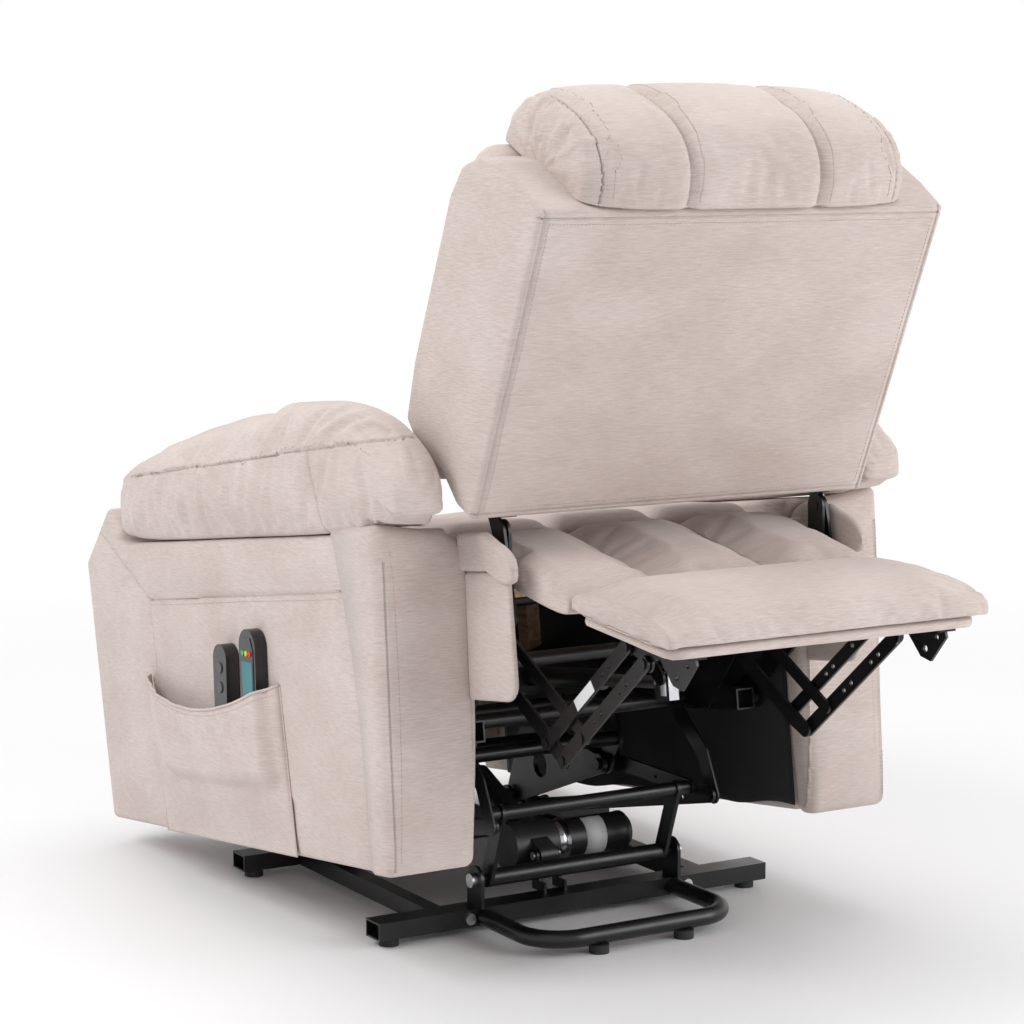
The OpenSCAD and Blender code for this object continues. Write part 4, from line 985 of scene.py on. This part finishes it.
hem_line = [in_seat @ pocket_point(k / 60, 1.0, 0.0002) for k in range(61)]
cord_along("side_pocket_hem", hem_line, 0.0021, chenille, "chassis")
for name, t in (("near", 0.0), ("far", 1.0)):
    edge_line = [in_seat @ pocket_point(t, k / 30, 0.0) for k in range(31)]
    cord_along(f"side_pocket_{name}_seam", edge_line, 0.0013, chenille, "chassis")
hem_stitches = [in_seat @ pocket_point(k / 60, 0.955, 0.002) for k in range(1, 60)]
stitches("side_pocket_hem_stitches", pocket, hem_stitches, "chassis")

# ---------------------------------------------------------------- calf pad
# Three foam channels bridge the gap between seat and leg rest. The pad is sewn to both.
calf_y, calf_z, calf_half_w, calf_half_d = -0.321, 0.5396, 0.247, 0.138
calf_tilt = 9.0
calf_seams = (-0.090, 0.090)
shift_y = joint["leg_rest_swing"]["pos_m"][1] + 0.370
in_calf = local_frame(Vector((middle_x, calf_y + shift_y, calf_z)), calf_tilt)
bm = grid_box((110, 46, 9))
for vert in bm.verts:
    station, full, cy, cz = stuffed(vert.co.x, vert.co.y, vert.co.z, 6, 3.4)
    x = station * calf_half_w
    z = (0.030 if cz > 0 else 0.016) * cz * (0.45 + 0.55 * full)
    if cz > 0:
        pinch = max(near(x, c, 0.020) for c in calf_seams)
        z *= 1 - 0.50 * pinch
        z += 0.0016 * noise.noise(Vector((x * 16, cy * 2.2, 5.0)))
    vert.co = Vector((x, cy * calf_half_d, z))
clean_up(bm)
calf = new_piece(bm, "calf_pad_cover", chenille, None)


def calf_pins(co):
    if co.z < -0.006 or abs(co.y) > calf_half_d - 0.012:
        return 1.0
    return 0.95 if min(abs(co.x - c) for c in calf_seams) < 0.004 else 0.0


puff(calf, calf_pins, 3.0, 0.009, growth=0.02)
bm = to_bmesh(calf)
for seam_x in calf_seams:
    sew_line(bm, (seam_x, 0, 0), (1, 0, 0), 0.0045, 0.0028, lambda co: co.z > 0.002 and abs(co.y) < 0.134)
place_in(in_calf, bm)
put_back(bm, calf)
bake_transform(calf)
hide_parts("calf_pad")

# ---------------------------------------------------------------- leg rest
# A board wrapped in the chenille carries a crowned foam pad. The pad's cover is gathered at its corners
# and sewn to the board's wrap by a seam that runs round its lower edge.
leg_half_w, leg_out, leg_in = 0.243, 0.314, 0.101
leg_mid, leg_half_d = -(leg_out + leg_in) / 2, (leg_out - leg_in) / 2
board_low, board_high = -0.050, -0.036
bm = grid_box((50, 22, 3))
half = Vector((leg_half_w - 0.005, leg_half_d - 0.003, (board_high - board_low) / 2))
for vert in bm.verts:
    p = rounded_box(vert.co, half, 0.0066)
    corner = ease((abs(p.x) - half.x + 0.018) / 0.018) * ease((abs(p.y) - half.y + 0.018) / 0.018)
    p.x -= 0.006 * corner * (1 if p.x > 0 else -1)
    p.y -= 0.006 * corner * (1 if p.y > 0 else -1)
    p.z += 0.0008 * noise.noise(Vector((p.x * 11, p.y * 11, 2.2)))
    vert.co = p + Vector((0, leg_mid, (board_low + board_high) / 2))
place_in(in_leg, bm)
leg_board = new_piece(bm, "leg_rest_board_wrap", chenille, "leg_rest")
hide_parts("leg_rest_board")

leg_seam_z = -0.0330
bm = grid_box((116, 52, 12))
for vert in bm.verts:
    station, full, cy, cz = stuffed(vert.co.x, vert.co.y, vert.co.z, 7, 2.8)
    x = station * (leg_half_w + 0.004)
    y = cy * (leg_half_d + 0.005) * (0.94 + 0.06 * full)
    z = (0.032 if cz > 0 else 0.014) * cz * (0.42 + 0.58 * full)
    z = max(board_high + 0.0003, board_high + 0.011 + z)
    vert.co = Vector((x, leg_mid + y, z))
clean_up(bm)
leg_pad = new_piece(bm, "leg_rest_pad_cover", chenille, None)


def leg_pins(co):
    return 1.0 if co.z < leg_seam_z + 0.002 else 0.0


puff(leg_pad, leg_pins, 3.0, 0.008, growth=0.022)
bm = to_bmesh(leg_pad)
bm.normal_update()
for vert in bm.verts:
    u = abs(vert.co.x) / leg_half_w
    v = abs(vert.co.y - leg_mid) / leg_half_d
    low = near(vert.co.z, leg_seam_z + 0.012, 0.016)
    at_corner = ease((u - 0.78) / 0.2) * ease((v - 0.62) / 0.3)
    at_edge = ease((v - 0.80) / 0.18) * 0.30
    angle = vert.co.x * 95 + vert.co.y * 130
    fold = wrinkle(angle * 0.55, 0.3, 6.0) - 0.22
    vert.co += vert.normal * (0.006 * low * max(at_corner, at_edge) * fold)
sew_line(bm, (0, 0, leg_seam_z), (0, 0, 1), 0.0030, 0.0022,
         lambda co: abs(co.x) > leg_half_w - 0.02 or abs(co.y - leg_mid) > leg_half_d - 0.02)
place_in(in_leg, bm)
put_back(bm, leg_pad)
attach(leg_pad, "leg_rest")
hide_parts("leg_rest_pad")

# ---------------------------------------------------------------- leg rest bar label
# A bare white paper label is stuck to the outside of the left inner bar of the leg rest's linkage.
label_size = Vector((0.0003, 0.052, 0.016))
label_middle = Vector((-0.20025, -0.2182, 0.2193))
bar_fall = -32.06
bm = bmesh.new()
bmesh.ops.create_cube(bm, size=1)
place_in(in_seat @ local_frame(label_middle, bar_fall) @ Matrix.Diagonal((*label_size, 1)), bm)
new_piece(bm, "leg_bar_label", bare_label, "leg_inner_bars", smooth=False)

# ---------------------------------------------------------------- backrest shell
# Plywood sides and a flat outside back, wrapped in the chenille. The sides rise into round shoulders
# beside the head roll; the flat back is sewn in with a seam that runs all the way round it.
back_half_w, back_height = 0.312, 0.430
shell_outline = [(0.0, 0.0), (0.0, back_height), (0.056, 0.441), (0.118, 0.447), (0.162, 0.434),
                 (0.198, 0.405), (0.212, 0.360), (0.214, 0.120), (0.204, 0.040), (0.170, 0.024), (0.095, 0.022),
                 (0.043, 0.000)]
bm = outline_block(shell_outline, -back_half_w, back_half_w, 0.007, 0.014)
hollow_half_w, hollow_top = 0.262, 0.418
for vert in bm.verts:
    n, s = vert.co.y, vert.co.z
    if n > 0.165 and abs(vert.co.x) < hollow_half_w and s < hollow_top:
        vert.co.y = 0.152
    if n < 0.001:
        u, w = vert.co.x / back_half_w, s / 0.215 - 1
        uneven = 1 + 0.8 * noise.noise(Vector((u * 3, w * 3, 0.5)))
        vert.co.y -= 0.0035 * (1 - u ** 6) * (1 - w ** 6) * uneven
    if abs(vert.co.x) > back_half_w - 0.001:
        out = 0.0045 * (1 - exp(-((distance_to([*shell_outline, shell_outline[0]], n, s) / 0.03) ** 2)))
        vert.co.x += out * (1 if vert.co.x > 0 else -1)
seam_in = 0.0085
for at, way in (((-back_half_w + seam_in, 0, 0), (1, 0, 0)), ((back_half_w - seam_in, 0, 0), (1, 0, 0)),
                ((0, 0, seam_in), (0, 0, 1)), ((0, 0, back_height - seam_in), (0, 0, 1))):
    sew_line(bm, at, way, 0.0032, 0.0024, lambda co: co.y < 0.0045)
bmesh.ops.triangulate(bm, faces=[f for f in bm.faces if len(f.verts) > 4])
place_in(in_back, bm)
shell = new_piece(bm, "back_shell_cover", chenille, "backrest")
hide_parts("back_shell")
stitch_in = seam_in + 0.007
edge, low_edge, top_edge = back_half_w - stitch_in, stitch_in, back_height - stitch_in
border = [(-edge, low_edge), (-edge, top_edge), (edge, top_edge), (edge, low_edge), (-edge, low_edge)]
border_line = []
for (xa, sa), (xb, sb) in zip(border, border[1:]):
    border_line += [in_back @ Vector((xa + (xb - xa) * k / 20, -0.02, sa + (sb - sa) * k / 20))
                    for k in range(20)]
stitches("back_border_stitches", shell, border_line, "backrest")

# ---------------------------------------------------------------- back cushions
# The inside of the backrest is one cushion sewn into three upright channels, fuller at the lower back.
cushion_half_w, cushion_low, cushion_high = 0.290, -0.040, 0.432
cushion_n0, cushion_deep = 0.1505, 0.078
cushion_seams = (-0.100, 0.100)
cushion_mid, cushion_half = (cushion_low + cushion_high) / 2, (cushion_high - cushion_low) / 2
bm = grid_box((112, 9, 76))
for vert in bm.verts:
    half = Vector((cushion_half_w, cushion_deep / 2, cushion_half))
    p = rounded_box(vert.co, half, 0.034)
    u, w = p.x / half.x, p.z / half.z
    n = p.y + half.y
    if p.y > 0:
        pinch = max(near(p.x, c, 0.018) for c in cushion_seams)
        n *= 1 - 0.30 * pinch
        n += 0.006 * (1 - u ** 4) * (1 - w ** 4) * (1 + 0.8 * near(w, -0.45, 0.35)) * (1 - pinch)
        n += 0.002 * noise.noise(Vector((p.x * 10, p.z * 8, 7.0)))
    vert.co = Vector((p.x, cushion_n0 + n, cushion_mid + p.z))
for seam_x in cushion_seams:
    sew_line(bm, (seam_x, 0, 0), (1, 0, 0), 0.005, 0.003, lambda co: co.y > cushion_n0 + 0.02)
sew_line(bm, (0, 0, 0.120), (0, 0, 1), 0.006, 0.004, lambda co: co.y > cushion_n0 + 0.02)
place_in(in_back, bm)
back_pad = new_piece(bm, "back_cushion_cover", chenille, "backrest")
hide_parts("back_cushions")

# ---------------------------------------------------------------- head roll
# A fat roll lies over the top of the back. Two seams part it into three, and each end is a gathered cap
# set in with a round seam.
roll_half_w, roll_n, roll_s0, roll_reach, roll_up = 0.250, 0.116, 0.4347, 0.124, 0.094
roll_seams = (-0.100, 0.100)
roll_cap_x = 0.226
bm = grid_box((120, 44, 30))
for vert in bm.verts:
    station, full, cn, cs = stuffed(vert.co.x, vert.co.y, vert.co.z, 4.2, 2.5)
    x = station * roll_half_w
    size = 0.50 + 0.50 * full
    pinch = 1 - 0.05 * max(near(x, c, 0.010) for c in roll_seams)
    n = roll_n + cn * roll_reach * size * pinch
    s = roll_s0 + (roll_up if cs > 0 else 0.050) * cs * size * pinch
    vert.co = Vector((x, n, max(roll_s0, s)))
clean_up(bm)
roll = new_piece(bm, "head_roll_cover", chenille, None)


def roll_pins(co):
    if co.z < roll_s0 + 0.004:
        return 1.0
    return 0.9 if min(abs(co.x - c) for c in (*roll_seams, -roll_cap_x, roll_cap_x)) < 0.004 else 0.0


puff(roll, roll_pins, 3.0, 0.008, growth=0.02)
bm = to_bmesh(roll)
bm.normal_update()
for vert in bm.verts:
    n, s = vert.co.y - roll_n, vert.co.z - roll_s0
    spin = (n + 1e-6) / (hypot(n, s) + 1e-6)
    beyond = ease((abs(vert.co.x) - roll_cap_x) / 0.006)
    inside = near(abs(vert.co.x), roll_cap_x - 0.016, 0.016)
    fold = wrinkle(spin * 9, vert.co.x * 10, 4.0) - 0.2
    vert.co += vert.normal * (0.0055 * beyond + 0.0035 * inside) * fold
for seam_x in roll_seams:
    sew_line(bm, (seam_x, 0, 0), (1, 0, 0), 0.0040, 0.0026, lambda co: co.z > roll_s0 + 0.003)
for seam_x in (-roll_cap_x, roll_cap_x):
    sew_line(bm, (seam_x, 0, 0), (1, 0, 0), 0.0042, 0.0026, lambda co: co.z > roll_s0 + 0.003)
place_in(in_back, bm)
put_back(bm, roll)
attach(roll, "backrest")
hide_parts("head_roll")
arc_radius = 0.16
for number, seam_x in enumerate((*roll_seams, -roll_cap_x, roll_cap_x)):
    offset = 0.006 if seam_x in roll_seams else -0.006 * (1 if seam_x > 0 else -1)
    arc = [in_back @ Vector((seam_x + offset, roll_n - arc_radius * cos(radians(a)),
                             roll_s0 + arc_radius * sin(radians(a)))) for a in range(4, 176, 4)]
    stitches(f"head_roll_stitches_{number + 1}", roll, arc, "backrest")

# ---------------------------------------------------------------- handsets
# Two moulded handsets stand in the pocket: a slim one for the lift, and a wider one for massage and heat
# with a printed film over its keys. The films are bare here.
handset_moulding = coated_metal("handset_moulding", (0.008, 0.008, 0.009), (0.014, 0.014, 0.016), 0.24,
                                grain=1800, depth=0.00002, Coat_Weight=0.2)
finish_nodes(handset_moulding, "wand_handset", "massage_handset")
for name, colour, nodes in (
    ("grey_key", (0.10, 0.10, 0.105), ("wand_up_key", "wand_down_key")),
    ("red_key", srgb(214, 40, 40), ("massage_power_key",)),
    ("yellow_key", srgb(226, 196, 40), ("massage_mode_key",)),
    ("green_key", srgb(60, 176, 84), ("massage_heat_key",)),
):
    key_rubber = coated_metal(name, tuple(c * 0.85 for c in colour), colour, 0.5, grain=1500, depth=0.00002)
    finish_nodes(key_rubber, *nodes)

in_remote = in_seat @ local_frame(Vector((-0.417, 0.298, 0.3197)), 4)
key_film = coated_metal("key_film", srgb(22, 92, 110), srgb(38, 128, 132), 0.28, grain=1500, depth=0.00002)
film_outline = [(-0.0165, -0.046), (-0.0150, -0.146), (0.0150, -0.146), (0.0165, -0.046)]
film_x, film_thick = -0.01032, 0.0003
bm = bmesh.new()
film_face = bm.faces.new([bm.verts.new((film_x, y, z)) for y, z in film_outline])
extrude_x(bm, film_face, film_thick)
bmesh.ops.recalc_face_normals(bm, faces=bm.faces)
place_in(in_remote, bm)
new_piece(bm, "massage_key_film", key_film, "massage_handset", smooth=False)
